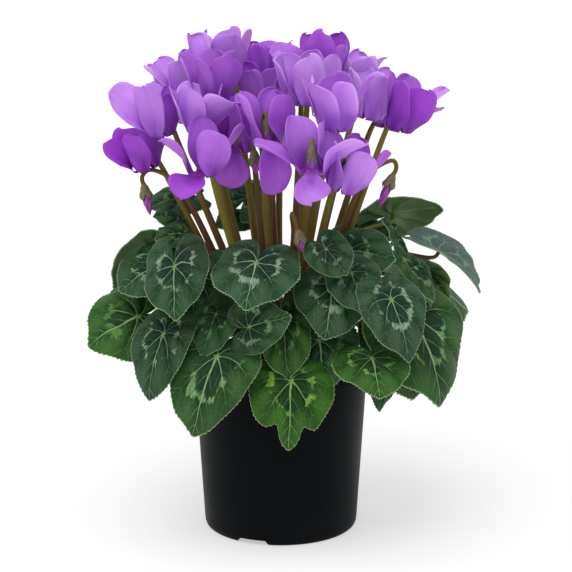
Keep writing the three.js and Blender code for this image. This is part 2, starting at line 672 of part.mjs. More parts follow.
function budStem(bud, option, extra) {
  const { hang, neck } = budFrame(bud);
  const back = new THREE.Vector3(-neck.x, -neck.y, 0).normalize();
  const at = (r, z) => neck.clone().addScaledVector(back, r).addScaledVector(hang, -z);
  const bearing = Math.atan2(neck.y, neck.x);
  const ring = STEM_RINGS[BUDS.indexOf(bud) % STEM_RINGS.length];
  const foot = new THREE.Vector3(ring * Math.cos(bearing), ring * Math.sin(bearing), CROWN_DEPTH + 3);
  const over = bud.over ?? 14;
  const under = at(over + 3, 2);
  const middle = foot.clone().lerp(under, 0.5).add(new THREE.Vector3(...option.bow, 0));
  const bend = [at(over * 0.7, 13), at(over * 0.25, 15.5), at(0, 11)];
  const points = [foot, middle, under, ...bend, at(0, 4), at(0, SEAT)];
  const { crown, middle: mid, neck: thin, hook } = STEM_RADIUS;
  const radii = [crown, mid, thin, hook, hook, hook, CALYX.radius, CALYX.end];
  return stalkSolid(points, radii.map((radius) => radius + extra), STEM_SIDES);
}

function budPeg(bud) {
  const { hang, neck } = budFrame(bud);
  const ends = [-11, -SEAT].map((t) => neck.clone().addScaledVector(hang, t));
  return stalkSolid(ends, [CALYX.end, CALYX.radius], STEM_SIDES);
}

// Pot, soil and tuber
function turned(outline, sides) {
  const profile = outline.map(([r, z]) => new THREE.Vector2(r, z));
  return new THREE.LatheGeometry(profile, sides).rotateX(Math.PI / 2);
}

const LIP_UNDER = POT_HEIGHT - LIP_HEIGHT;
const wallAt = (z) => mix(FOOT_RADIUS, WALL_TOP_RADIUS, z / LIP_UNDER);

const POT_OUTSIDE = [
  [0, 0],
  [wallAt(0) - FOOT_CORNER, 0],
  [wallAt(0) - 0.6, FOOT_CORNER * 0.6],
  [wallAt(FOOT_CORNER * 2), FOOT_CORNER * 2],
  [WALL_TOP_RADIUS, LIP_UNDER],
  [RIM_RADIUS - 0.9, LIP_UNDER + 0.4],
  [RIM_RADIUS, POT_HEIGHT - 1],
  [RIM_RADIUS - 0.8, POT_HEIGHT],
];

function potSolid() {
  const inside = [
    [RIM_RADIUS - WALL - 0.6, POT_HEIGHT],
    [RIM_RADIUS - WALL - 1.2, POT_HEIGHT - 1],
    [WALL_TOP_RADIUS - WALL, LIP_UNDER - 1.5],
    [wallAt(FLOOR) - WALL, FLOOR],
    [0, FLOOR],
  ];
  const filled = solidOf(turned([...POT_OUTSIDE, [0, POT_HEIGHT]], POT_SIDES));
  let pot = solidOf(turned([...POT_OUTSIDE, ...inside], POT_SIDES));
  for (let i = 0; i < NOTCH.count; i += 1) {
    const turn = rad(NOTCH.bearing + (360 * i) / NOTCH.count);
    pot = pot.add(notchPad(turn, FLOOR).intersect(filled));
    pot = pot.subtract(notchBlock(turn)).subtract(drain(turn));
  }
  return pot;
}

function notchBlock(turn) {
  const { width, top, height, depth } = NOTCH;
  const outline = new THREE.Shape([
    new THREE.Vector2(-width / 2, -1),
    new THREE.Vector2(width / 2, -1),
    new THREE.Vector2(top / 2, height),
    new THREE.Vector2(-top / 2, height),
  ]);
  const block = new THREE.ExtrudeGeometry(outline, { depth: depth + 4, bevelEnabled: false });
  block.rotateX(Math.PI / 2).rotateZ(Math.PI / 2);
  block.translate(FOOT_RADIUS - depth, 0, 0).rotateZ(turn);
  return solidOf(block);
}

function notchPad(turn, cover) {
  const { width, height, depth } = NOTCH;
  const pad = new THREE.BoxGeometry(depth + 12, width + 2 * cover, height + cover);
  pad.translate(FOOT_RADIUS - depth - cover + (depth + 12) / 2, 0, (height + cover) / 2).rotateZ(turn);
  return solidOf(pad);
}

function drain(turn) {
  const hole = new THREE.CylinderGeometry(DRAIN.radius, DRAIN.radius, 12, DRAIN.sides).rotateX(Math.PI / 2);
  return solidOf(hole.translate(FOOT_RADIUS - DRAIN.from_edge, 0, 4).rotateZ(turn));
}

function tuberSolid(grow) {
  const body = new THREE.SphereGeometry(1, TUBER.sides, TUBER.rings).rotateX(Math.PI / 2);
  body.scale(TUBER.radius + grow, TUBER.radius + grow, TUBER.half_height + grow);
  return solidOf(body.translate(0, 0, TUBER.middle));
}

function soilSolid() {
  const bottom = FLOOR + SOIL_BOTTOM_GAP;
  const inner = (z) => wallAt(z) - WALL - SOIL_GAP;
  const rings = SOIL_RINGS.map((share) => [share * inner(SOIL_TOP), SOIL_TOP]);
  const wall = [[inner(bottom) - 0.2, bottom], [inner(SOIL_TOP), SOIL_TOP - 1.5]];
  const body = turned([[0, bottom], ...wall, ...rings.reverse(), [0, SOIL_TOP]], SOIL_SIDES);
  const spots = body.getAttribute("position");
  for (let i = 0; i < spots.count; i += 1) {
    const [x, y, z] = [spots.getX(i), spots.getY(i), spots.getZ(i)];
    if (z > SOIL_TOP - 0.5) spots.setZ(i, z + SOIL_GRAIN * Math.sin(0.31 * x + 1.7) * Math.cos(0.27 * y));
  }
  let soil = solidOf(body).subtract(tuberSolid(SEAT));
  for (let i = 0; i < NOTCH.count; i += 1) {
    const turn = rad(NOTCH.bearing + (360 * i) / NOTCH.count);
    soil = soil.subtract(notchPad(turn, FLOOR + SOIL_BOTTOM_GAP));
  }
  return soil;
}

// The outer skin of a union, without the small hollows that crossing stalks close off.
function skin(solid) {
  return solid.decompose().reduce((best, part) => (part.volume() > best.volume() ? part : best));
}

// Assembly
const plant = new THREE.Group();
const addNode = (name, solid, material) => {
  const mesh = new THREE.Mesh(geometryOf(solid), material);
  mesh.name = name;
  plant.add(mesh);
};

const pot = potSolid();
const soil = soilSolid();
const placed = [pot, soil].map((solid) => ({ key: "pot", solid }));
const pegs = [];
const nodes = new Map();
const stalks = [tuberSolid(0)];
const solids = () => placed.map((piece) => piece.solid);

// A blade, bloom or bud takes its place and joins its node.
function place(row, make, makePeg, way, material) {
  const key = row.group ?? row.name;
  const others = placed.filter((piece) => piece.key !== key).map((piece) => piece.solid);
  const mates = nodes.get(key)?.solid;
  const peg = (shift) => makePeg(row, shift);
  const along = vec(way).normalize();
  const grown = (shift, extra) => make(row, shift, extra);
  const shift = settle(grown, peg, along, [...others, ...pegs], mates, solids());
  const solid = make(row, shift);
  placed.push({ key, solid });
  pegs.push(peg(shift));
  nodes.set(key, { solid: mates ? mates.add(solid) : solid, material });
  return shift;
}

// Flowers and buds come first and then their stems, the leaves clear those, and their stalks clear all.
const flowers = BLOOMS.map((bloom) => [bloom, place(bloom, bloomSolid, stemPeg, BACK, look.petal)]);
for (const bud of BUDS) place(bud, budSolid, budPeg, BACK, look.bud);
const petals = solids();
for (const [bloom, shift] of flowers) {
  stalks.push(route((option, extra) => stemSolid(bloom, shift, option, extra), STEM_OPTIONS, petals));
}
for (const bud of BUDS) {
  stalks.push(route((option, extra) => budStem(bud, option, extra), STEM_OPTIONS, petals));
}
for (const solid of stalks) placed.push({ key: "stalks", solid });
const foliage = LEAVES.map((leaf) => {
  const shift = place(leaf, leafSolid, petiolePeg, leaf.way ?? leaf.face, look.leaf);
  return [leaf, shift];
});
const blades = placed.filter((piece) => piece.key !== "stalks").map((piece) => piece.solid);
for (const [leaf, shift] of foliage) {
  stalks.push(route((option, extra) => petioleSolid(leaf, shift, option, extra), PETIOLE_OPTIONS, blades));
}

for (const [name, { solid, material }] of nodes) addNode(name, skin(solid), material);
addNode("stalks", skin(wasm.Manifold.union(stalks)), look.stalk);
addNode("pot", pot, look.pot);
addNode("soil", soil, look.soil);

export default plant;
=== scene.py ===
# Potted cyclamen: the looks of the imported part. Every piece is built in metres in the part's own frame,
# from the same placements as its solids, with -Y as the front.
import math
import random

import bmesh
import bpy
import numpy as np
from mathutils import Matrix, Vector, noise
from mathutils.kdtree import KDTree


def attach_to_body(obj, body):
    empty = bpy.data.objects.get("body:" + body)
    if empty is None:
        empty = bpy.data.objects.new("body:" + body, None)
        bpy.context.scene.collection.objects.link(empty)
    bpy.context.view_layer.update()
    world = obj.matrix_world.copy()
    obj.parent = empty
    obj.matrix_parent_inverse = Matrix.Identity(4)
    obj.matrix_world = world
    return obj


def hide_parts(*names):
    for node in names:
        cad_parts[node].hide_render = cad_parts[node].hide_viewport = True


bl_info = {
    "name": "Potted Cyclamen",
    "version": (1, 0, 0),
    "blender": (4, 5, 0),
    "location": "View3D > Sidebar > Cyclamen",
    "description": "Builds the pot, soil, stalks, leaves, blooms and buds of a potted cyclamen",
    "category": "Object",
}

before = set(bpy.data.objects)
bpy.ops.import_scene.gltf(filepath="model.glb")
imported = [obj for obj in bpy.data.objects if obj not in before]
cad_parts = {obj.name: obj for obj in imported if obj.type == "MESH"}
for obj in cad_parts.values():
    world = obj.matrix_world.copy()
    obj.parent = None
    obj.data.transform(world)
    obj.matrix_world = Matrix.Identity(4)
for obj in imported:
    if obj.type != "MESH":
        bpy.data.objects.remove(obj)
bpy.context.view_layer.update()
MM = 0.001

# Placements, in millimetres, as the solids have them.
RIM_RADIUS = 60.0
POT_HEIGHT = 112.0
LIP_UNDER = 103.0
WALL_TOP_RADIUS = 56.2
FOOT_RADIUS = 49.8
WALL = 1.6
FLOOR = 2.2
SOIL_TOP = 101.0
SOIL_FOOT = 6.4
SOIL_GAP = 0.35
NOTCHES = {"count": 3, "bearing": 248, "width": 24, "top": 18, "height": 3.4, "depth": 14}
DRAIN_RADIUS = 3.5
DRAIN_FROM_EDGE = 9.0
PAD_INSET = 0.7
PAD_FOOT = 1.3
TUBER = {"radius": 24.0, "half_height": 11.0, "middle": 97.0}
# A leaf or bloom that would cross a neighbour makes room in steps along its own way.
STEP = 0.8
STEPS = 80
SEAT = 0.35
BLADE_DEPTH = 1.0
CROWN = 98.0
STEM_FOOT = CROWN + 3
STEM_RINGS = [4, 7.5, 11]
STEM_HOOK = [(9.8, -15), (7.8, -5), (7, 4), (4, 8), (0, 4), (0, SEAT)]
STEM_RADII = [2.4, 2.2, 1.5, 1.25, 1.25, 1.25, 2.9, 2.1]
PETIOLE_RINGS = [13, 16, 19]
PETIOLE_RADII = [1.7, 1.3]
PETIOLE_TIP = 2.5
PETIOLE_TURNS = [0, 12, -12, 24, -24, 36, -36, 50, -50]
# How far a leaf stalk rises at its foot and dips under its blade, as shares of its length.
PETIOLE_SHAPES = [(0.45, 0.28), (0.3, 0.4), (0.6, 0.18), (0.2, 0.55), (0.75, 0.3), (1.0, 0.12)]
PETALS = 5
PETAL_STEP = 360 / PETALS
PETAL_LENGTH = 31
TUBE_LENGTH = 8.0
TUBE_RADII = [3.0, 4.4]
TWISTS = [24, 20, 26, 22, 24]
EVEN = [1, 1, 1, 1, 1]
BACK = (0, 1, -0.24)
FORE = (0, -1, 0.24)

# A leaf's outline: bearing from the tip, and how far the blade reaches there.
LEAF_OUTLINE = [
    (0, 1.0), (16, 0.87), (36, 0.8), (62, 0.74), (92, 0.7), (122, 0.7), (148, 0.67), (166, 0.38), (180, 0.1),
]
# Every other corner of the solids' outline stands out a little.
LEAF_TEETH = (0.99, 1.02)
# The same outline as the fine blade has it, with its narrow cleft.
BLADE_OUTLINE = [
    (0, 1.02), (5, 0.98), (13, 0.925), (28, 0.865), (50, 0.81), (75, 0.775), (100, 0.765), (125, 0.76),
    (145, 0.74), (159, 0.64), (169, 0.38), (175, 0.16), (180, 0.05),
]

# Leaves, as in the solids, with their looks: tone runs from cool blue-green to bright yellow-green, marks
# is how strong the pale marbling is, and the painted sheen how far a silvery sheen, a painted reflection, is
# laid over the blade. A fine blade may also grow, be narrow, fold up beside its midrib, close its cleft, or
# drip to a drawn-out tip, where less than 0 makes it blunt.
LEAVES = [
    {"name": "leaf_29", "attach": (24, -58, 140), "tip": (27, -66, 112), "face": (0, -1, 0.35), "wide": 0.92,
     "tone": 0.35, "marks": 0.3, "grow": 1.14},
    {"name": "leaf_11", "attach": (7, -72, 117), "tip": (5, -81, 75), "face": (0, -1, 0.35), "wide": 0.78,
     "arch": 0.12, "lobes": 0.5, "tone": 0.95, "marks": 0.9, "drip": 1.0},
    {"name": "leaf_26", "node": "leaves_26_27", "attach": (76, -26, 128), "tip": (84, -34, 98),
     "face": (0.5, -0.8, 0.3), "wide": 0.9, "tone": 0.5, "marks": 0.4, "grow": 1.12},
    {"name": "leaf_27", "node": "leaves_26_27", "attach": (66, -24, 115), "tip": (63, -32, 87),
     "face": (0.3, -1, 0.2), "wide": 0.5, "way": FORE, "tone": 0.2, "marks": 0.3},
    {"name": "leaf_14", "attach": (84, -42, 150), "tip": (101, -52, 95), "face": (0.6, -0.8, 0.35),
     "wide": 0.8, "arch": 0.1, "lobes": 0.6, "tone": 0.5, "marks": 0.7},
    {"name": "leaf_12", "attach": (56, -68, 131), "tip": (60, -92, 113), "face": (0.1, -0.8, 0.6),
     "wide": 1.0, "way": FORE, "tone": 0.8, "marks": 0.75},
    {"name": "leaf_10", "attach": (1, -58, 150), "tip": (4, -72, 119), "face": (0.1, -0.95, 0.3),
     "wide": 0.62, "cup": -0.3, "tone": 0.65, "marks": 0.5, "grow": 1.06},
    {"name": "leaf_08", "attach": (-40, -62, 157), "tip": (-47, -75, 137), "face": (-0.35, -0.9, 0.3),
     "wide": 0.7, "tone": 0.35, "marks": 0.6, "grow": 1.14},
    {"name": "leaf_07", "attach": (-39, -76, 134), "tip": (-54, -86, 86), "face": (-0.2, -0.95, 0.3),
     "wide": 0.66, "arch": 0.13, "lobes": 0.6, "tone": 0.5, "marks": 0.8},
    {"name": "leaf_09", "attach": (-19, -76, 152), "tip": (5, -82, 160), "face": (0, -0.95, 0.35),
     "wide": 0.85, "tone": 0.3, "marks": 0.7},
    {"name": "leaf_05", "attach": (-90, -40, 150), "tip": (-119, -48, 134), "face": (-0.4, -0.75, 0.55),
     "wide": 1.12, "tone": 0.8, "marks": 0.4, "grow": 1.05},
    {"name": "leaf_06", "attach": (-72, -70, 147), "tip": (-81, -83, 109), "face": (-0.35, -0.9, 0.3),
     "wide": 0.6, "arch": 0.13, "lobes": 0.65, "tone": 0.12, "marks": 0.9},
    {"name": "leaf_04", "attach": (-84, -8, 187), "tip": (-108, -14, 161), "face": (-0.3, 0.75, 0.6),
     "wide": 0.8, "lobes": 0.6, "way": BACK, "tone": 0.5, "marks": 0.5},
    {"name": "leaf_03", "node": "leaves_03_30", "attach": (-76, -36, 184), "tip": (-100, -48, 168),
     "face": (-0.5, -0.7, 0.5), "lobes": 1.2, "tone": 0.3, "marks": 0.8},
    {"name": "leaf_30", "node": "leaves_03_30", "attach": (-52, -30, 172), "tip": (-57, -40, 140),
     "face": (-0.1, -1, 0.25), "wide": 0.85, "way": FORE, "tone": 0.25, "marks": 0.3},
    {"name": "leaf_20", "attach": (46, 2, 194), "tip": (74, 10, 198), "face": (0.1, -0.45, 1), "wide": 0.75,
     "way": BACK, "tone": 0.4, "marks": 0.5},
    {"name": "leaf_19", "attach": (42, -28, 190), "tip": (70, -40, 187), "face": (0.1, -0.75, 0.7),
     "wide": 0.8, "way": FORE, "tone": 0.3, "marks": 0.8, "grow": 1.1},
    {"name": "leaf_23", "attach": (76, -10, 193), "tip": (77, -26, 176), "face": (0.95, -0.5, 0.2),
     "wide": 0.7, "tone": 0.3, "marks": 0.7},
    {"name": "leaf_24", "attach": (80, -28, 178), "tip": (90, -36, 158), "face": (0.8, -0.6, 0.2),
     "wide": 0.7, "tone": 0.35, "marks": 0.6},
    {"name": "leaf_25", "attach": (96, 8, 166), "tip": (108, 2, 150), "face": (0.5, -0.7, 0.5), "wide": 0.9,
     "tone": 1.0, "marks": 0.3},
    {"name": "leaf_16", "attach": (33, -62, 174), "tip": (27, -80, 146), "face": (0, -0.9, 0.45), "wide": 0.9,
     "skew": 14, "lobes": 0.8, "tone": 0.15, "marks": 0.9},
    {"name": "leaf_18", "attach": (44, -66, 184), "tip": (50, -78, 165), "face": (0.2, -0.9, 0.4),
     "wide": 0.85, "way": FORE, "tone": 0.1, "marks": 0.6, "grow": 1.14},
    {"name": "leaf_17", "attach": (28, -64, 199), "tip": (41, -74, 184), "face": (0, -0.85, 0.5), "wide": 0.8,
     "way": FORE, "tone": 0.15, "marks": 0.9},
    {"name": "leaf_13", "attach": (65, -72, 169), "tip": (76, -86, 133), "face": (0.35, -0.9, 0.3),
     "wide": 0.66, "arch": 0.1, "lobes": 0.7, "tone": 0.05, "marks": 1.0, "closed": 0.55},
    {"name": "leaf_01", "attach": (-65, -66, 188), "tip": (-64, -90, 161), "face": (-0.15, -0.85, 0.5),
     "wide": 0.72, "skew": -16, "tone": 0.15, "marks": 1.0, "lobes": 1.5},
    {"name": "leaf_02", "attach": (-15, -74, 192), "tip": (-21, -100, 170), "face": (-0.1, -0.8, 0.6),
     "wide": 1.0, "tone": 0.12, "marks": 0.9, "lobes": 1.6},
    {"name": "leaf_22", "attach": (98, -5, 180), "tip": (124, -8, 153), "face": (0.6, -0.3, 0.75),
     "wide": 0.75, "tone": 0.05, "marks": 0.8, "painted_sheen": 0.45, "grow": 0.94, "narrow": 0.72, "fold": 0.3,
     "drip": -0.8},
    {"name": "leaf_21", "attach": (73, 20, 202), "tip": (103, 8, 207), "face": (0.05, 0.8, 0.7), "wide": 0.85,
     "tone": 0.4, "marks": 0.5},
    {"name": "leaf_33", "attach": (-64, -6, 196), "tip": (-79, -12, 193), "face": (-0.3, -0.6, 0.8),
     "way": FORE, "tone": 0.45, "marks": 0.6},
    {"name": "leaf_32", "attach": (-66, 4, 204), "tip": (-81, -2, 206), "face": (-0.3, -0.5, 0.9),
     "way": BACK, "tone": 0.5, "marks": 0.5},
    {"name": "leaf_31", "attach": (-64, 34, 213), "tip": (-86, 28, 205), "face": (-0.3, -0.6, 0.9),
     "wide": 0.9, "way": BACK, "tone": 0.3, "marks": 0.5},
    {"name": "leaf_36", "attach": (-27, 32, 200), "tip": (-41, 24, 196), "face": (-0.2, -0.6, 0.8),
     "wide": 0.9, "way": BACK, "tone": 0.4, "marks": 0.5, "grow": 1.14},
    {"name": "leaf_35", "attach": (-22, 50, 210), "tip": (-10, 68, 216), "face": (0.1, -0.3, 1), "wide": 0.9,
     "way": BACK, "tone": 0.35, "marks": 0.5, "grow": 1.14},
    {"name": "leaf_41", "node": "leaves_41_46", "attach": (70, 58, 166), "tip": (96, 78, 140),
     "face": (0.5, 0.6, 0.7), "wide": 0.85, "tone": 0.3, "marks": 0.8},
    {"name": "leaf_42", "node": "leaves_42_43", "attach": (24, 78, 164), "tip": (34, 108, 140),
     "face": (0.1, 0.7, 0.7), "tone": 0.15, "marks": 0.9},
    {"name": "leaf_43", "node": "leaves_42_43", "attach": (-18, 80, 166), "tip": (-26, 108, 142),
     "face": (-0.2, 0.7, 0.7), "tone": 0.5, "marks": 0.7},
    {"name": "leaf_44", "node": "leaves_44_45", "attach": (-66, 58, 168), "tip": (-92, 76, 144),
     "face": (-0.5, 0.5, 0.7), "wide": 0.85, "tone": 0.2, "marks": 0.9},
    {"name": "leaf_45", "node": "leaves_44_45", "attach": (-88, 34, 158), "tip": (-114, 42, 130),
     "face": (-0.7, 0.2, 0.7), "wide": 0.9, "tone": 0.65, "marks": 0.6},
    {"name": "leaf_46", "node": "leaves_41_46", "attach": (88, 42, 148), "tip": (112, 52, 114),
     "face": (0.8, 0.4, 0.5), "wide": 0.75, "tone": 0.55, "marks": 0.7},
    {"name": "leaf_47", "node": "leaves_47_48", "attach": (4, 76, 126), "tip": (6, 92, 88),
     "face": (0, 0.9, 0.4), "wide": 0.8, "tone": 0.8, "marks": 0.6},
    {"name": "leaf_48", "node": "leaves_47_48", "attach": (-40, 70, 126), "tip": (-52, 86, 90),
     "face": (-0.4, 0.85, 0.4), "wide": 0.8, "tone": 0.6, "marks": 0.7},
]

# Blooms, as in the solids, with their looks: age runs from a deep, just opened bloom to a pale, full one,
# for the bloom or for each of its petals, where it also paints shade on petals turned away from the light and
# light on those turned to it, and trim is how many times longer and wider a petal is.
BLOOMS = [
    {"name": "bloom_10", "node": "blooms_10_11", "mouth": (19, -70, 251), "lean": (0, -0.1, 1), "spin": 0,
     "flares": (165, 60, 14, 20, 66), "twists": (0, 30, 60, 10, 20), "scale": (0.52, 1.05, 0.9, 1, 1.08),
     "age": (0.3, 0.75, 0.5, 0.4, 0.5)},
    {"name": "bloom_11", "node": "blooms_10_11", "mouth": (38, -60, 238), "lean": (0.28, -0.1, 1),
     "spin": -45, "flares": (18, 26, 40, 20, 30), "twists": (20, 40, 20, 0, 10),
     "age": (0.4, 0.6, 0.3, 0.15, 0.45)},
    {"name": "bloom_03", "mouth": (-47, -55, 247), "lean": (0, -0.1, 1), "spin": -30,
     "flares": (115, 18, 48, 12, 55), "twists": (10, 60, 30, 10, -20), "scale": (0.7, 0.9, 1, 1, 0.8),
     "age": (0.1, 0.3, 0.5, 0.2, 0.4)},
    {"name": "bloom_09", "mouth": (-8, -42, 263), "lean": (0, -0.05, 1), "spin": 20,
     "flares": (168, 14, 20, 22, 30), "twists": (0, 50, 10, 10, 20), "scale": (0.9, 0.95, 1, 1, 1.1),
     "age": 0.2},
    {"name": "bloom_12", "mouth": (34, -45, 273), "lean": (0, -0.05, 1), "spin": -40,
     "flares": (24, 10, 34, 18, 30), "twists": (10, 60, 20, 0, 10), "scale": (1.05, 0.95, 1.05, 1, 1),
     "age": (0.65, 0.95, 0.5, 0.3, 0.5), "trim": {0: (1.0, 1.25)}},
    {"name": "bloom_17", "mouth": (75, -15, 268), "lean": (0.3, -0.05, 1), "spin": -30,
     "flares": (14, 12, 34, 25, 20), "twists": (20, 50, 20, 0, 10), "age": (0.1, 0.0, 0.95, 0.3, 0.1),
     "trim": {1: (0.95, 0.85), 2: (1.1, 0.75)}},
    {"name": "bloom_01", "node": "blooms_01_02", "mouth": (-76, -10, 264), "lean": (-0.1, -0.1, 1),
     "spin": -88, "flares": (48, 24, 4, 8, 30), "twists": (70, 20, 15, 0, 10),
     "scale": (1.1, 1.05, 0.8, 0.9, 0.9), "age": (0.85, 0.75, 0.3, 0.2, 0.6),
     "trim": {0: (1.0, 0.82), 1: (1.12, 0.95)}},
    {"name": "bloom_02", "node": "blooms_01_02", "mouth": (-86, -5, 241), "lean": (-0.3, -0.05, 1),
     "spin": -75, "flares": (34, 12, 10, 10, 22), "twists": (55, 20, 20, 0, 10),
     "scale": (0.95, 0.85, 0.8, 0.8, 0.85), "age": 0, "trim": {0: (0.85, 0.8), 1: (0.95, 0.9)}},
    {"name": "bloom_04", "node": "blooms_04_06", "mouth": (-50, -30, 270), "lean": (-0.1, 0, 1), "spin": -20,
     "flares": (14, 60, 25, 15, 25), "twists": (15, 30, 10, 0, 10), "scale": (0.9, 0.9, 0.9, 0.9, 0.9),
     "age": 0.75},
    {"name": "bloom_16", "node": "blooms_15_16", "mouth": (57, -5, 275), "lean": (0.2, 0, 1), "spin": 10,
     "flares": (22, 28, 20, 25, 30), "age": 1},
    {"name": "bloom_14", "mouth": (15, -10, 283), "lean": (0, 0, 1), "spin": -60,
     "flares": (32, 15, 30, 20, 25), "age": 0.85},
    {"name": "bloom_06", "node": "blooms_04_06", "mouth": (-42, -5, 283), "lean": (-0.05, 0, 1), "spin": -30,
     "flares": (14, 24, 20, 20, 25), "age": 0.25},
    {"name": "bloom_19", "mouth": (-27, -12, 254), "lean": (0, 0, 1), "spin": -20,
     "flares": (160, 24, 22, 22, 24), "scale": (0.7, 1, 1, 1, 1), "age": 0.2},
    {"name": "bloom_07", "mouth": (-37, 28, 293), "lean": (0, 0, 1), "spin": -50,
     "flares": (20, 20, 22, 25, 40), "age": 0.7},
    {"name": "bloom_18", "node": "blooms_08_18", "mouth": (-19, -5, 280), "lean": (0, 0, 1), "spin": 0,
     "flares": (20, 20, 25, 20, 20), "age": 0.25},
    {"name": "bloom_08", "node": "blooms_08_18", "mouth": (-9, 26, 291), "lean": (0, 0, 1), "spin": -35,
     "flares": (12, 22, 20, 20, 22), "age": 0.25},
    {"name": "bloom_05", "mouth": (-62, 24, 283), "lean": (-0.25, 0, 1), "spin": -65,
     "flares": (30, 22, 10, 15, 20), "scale": (0.95, 0.9, 0.9, 0.9, 0.9), "age": 0.8},
    {"name": "bloom_13", "mouth": (27, 20, 291), "lean": (0.02, 0, 1), "spin": -5,
     "flares": (10, 18, 20, 25, 72), "twists": (20, 20, 10, 0, 40), "age": (0.1, 0.35, 0.2, 0.0, 0.5),
     "trim": {0: (1.08, 1), 1: (0.85, 0.7)}},
    {"name": "bloom_15", "node": "blooms_15_16", "mouth": (46, 25, 281), "lean": (0.1, 0, 1), "spin": -45,
     "flares": (22, 22, 20, 22, 22), "age": 1},
    {"name": "bloom_20", "mouth": (-60, 60, 262), "lean": (-0.25, 0.2, 1), "spin": 0,
     "flares": (25, 25, 35, 60, 30), "age": 0.6},
    {"name": "bloom_21", "mouth": (-10, 72, 262), "lean": (-0.05, 0.25, 1), "spin": 20,
     "flares": (15, 25, 160, 35, 30), "age": 0.45},
    {"name": "bloom_22", "mouth": (30, 62, 264), "lean": (0.1, 0.25, 1), "spin": -20,
     "flares": (15, 30, 60, 30, 25), "age": 0.7},
    {"name": "bloom_23", "mouth": (70, 36, 260), "lean": (0.3, 0.15, 1), "spin": 10,
     "flares": (25, 55, 30, 30, 15), "age": 0.35},
]

# Buds, as in the solids: neck is the top of the petals, hang the way the bud points, long the rolled petals'
# length, and over how far its stem reaches over.
BUDS = [
    {"name": "bud_1", "neck": (-86, -6, 222), "hang": (0.2, 0, -1), "long": 14, "over": 20},
    {"name": "bud_2", "neck": (69, -12, 230), "hang": (-0.42, 0, -1), "long": 17},
    {"name": "bud_3", "neck": (-16, -34, 249), "hang": (0.1, 0, -1), "long": 9},
    {"name": "bud_4", "neck": (12, -60, 204), "hang": (0.25, -0.1, -1), "long": 8},
]


# Vectors and curves
def vec(values):
    return np.array(values, float)


def turns_of(sides):
    """Evenly spaced angles once round."""
    return 2 * math.pi * np.arange(sides) / sides


def unit(values):
    values = vec(values)
    return values / np.linalg.norm(values)


def colour(code):
    """A colour as shaders take it, from its six-digit web code."""
    shares = [int(code[i : i + 2], 16) / 255 for i in (0, 2, 4)]
    return [s / 12.92 if s <= 0.04045 else ((s + 0.055) / 1.055) ** 2.4 for s in shares]


def smooth_between(knots, values, at):
    """A smooth curve through values at uneven knots."""
    knots, values, at = vec(knots), vec(values), np.atleast_1d(vec(at))
    flat = values.ndim == 1
    values = values[:, None] if flat else values
    step = np.diff(knots)[:, None]
    slope = np.diff(values, axis=0) / step
    inner = (slope[:-1] * step[1:] + slope[1:] * step[:-1]) / (step[1:] + step[:-1])
    tangent = np.vstack([slope[:1], inner, slope[-1:]])
    i = np.clip(np.searchsorted(knots, at, side="right") - 1, 0, len(knots) - 2)
    h = step[i]
    u = ((at - knots[i])[:, None]) / h
    made = (
        (1 + 2 * u) * (1 - u) ** 2 * values[i]
        + u * (1 - u) ** 2 * h * tangent[i]
        + u**2 * (3 - 2 * u) * values[i + 1]
        + u**2 * (u - 1) * h * tangent[i + 1]
    )
    return made[:, 0] if flat else made


def smooth_path(points, radii, spacing=2.5):
    """A smooth run of points through a stalk's corners, with its radius at each."""
    points = vec(points)
    spans = np.linalg.norm(np.diff(points, axis=0), axis=1)
    knots = np.concatenate([[0], np.cumsum(np.sqrt(spans))])
    at = []
    for i, span in enumerate(spans):
        count = max(3, int(span / spacing))
        at.extend(knots[i] + (knots[i + 1] - knots[i]) * np.arange(count) / count)
    at.append(knots[-1])
    return smooth_between(knots, points, at), np.interp(at, knots, radii)


def bezier(a, b, c, d, shares):
    """Points along a curve with four handles."""
    t = vec(shares)[:, None]
    return a * (1 - t) ** 3 + 3 * b * t * (1 - t) ** 2 + 3 * c * t**2 * (1 - t) + d * t**3


def spokes_of(turns, across, third):
    """Directions at these turns, between two that are square to each other."""
    return np.cos(turns)[:, None] * across + np.sin(turns)[:, None] * third


def around(up):
    """Gives the direction out from an axis at a bearing, with 0 as the front."""
    front = vec((0, -1, 0))
    front = unit(front - front.dot(up) * up)
    right = np.cross(up, front)

    def outward(bearing):
        turn = np.radians(bearing)
        return np.multiply.outer(np.cos(turn), front) + np.multiply.outer(np.sin(turn), right)

    return outward


def stalk_rings(points, radii, sides):
    """Flat-sided rings along a stalk, each ring's corners turned as little as possible from the last."""
    points = vec(points)
    last = len(points) - 1
    across = None
    rings = []
    for i, point in enumerate(points):
        along = unit(points[min(i + 1, last)] - points[max(i - 1, 0)])
        if across is None:
            across = vec((1, 0, 0)) if abs(along[0]) < 0.9 else vec((0, 1, 0))
        across = unit(across - across.dot(along) * along)
        third = np.cross(along, across)
        rings.append(point + spokes_of(turns_of(sides), across, third) * radii[i])
    return np.array(rings)


def closed(index):
    """A grid of corner numbers with its first column again at its end."""
    return np.column_stack([index, index[:, 0]])


def grid_faces(index):
    """Four-cornered faces between the neighbours of a grid of corner numbers."""
    rows, columns = index.shape
    return [
        (index[i, j], index[i, j + 1], index[i + 1, j + 1], index[i + 1, j])
        for i in range(rows - 1)
        for j in range(columns - 1)
    ]


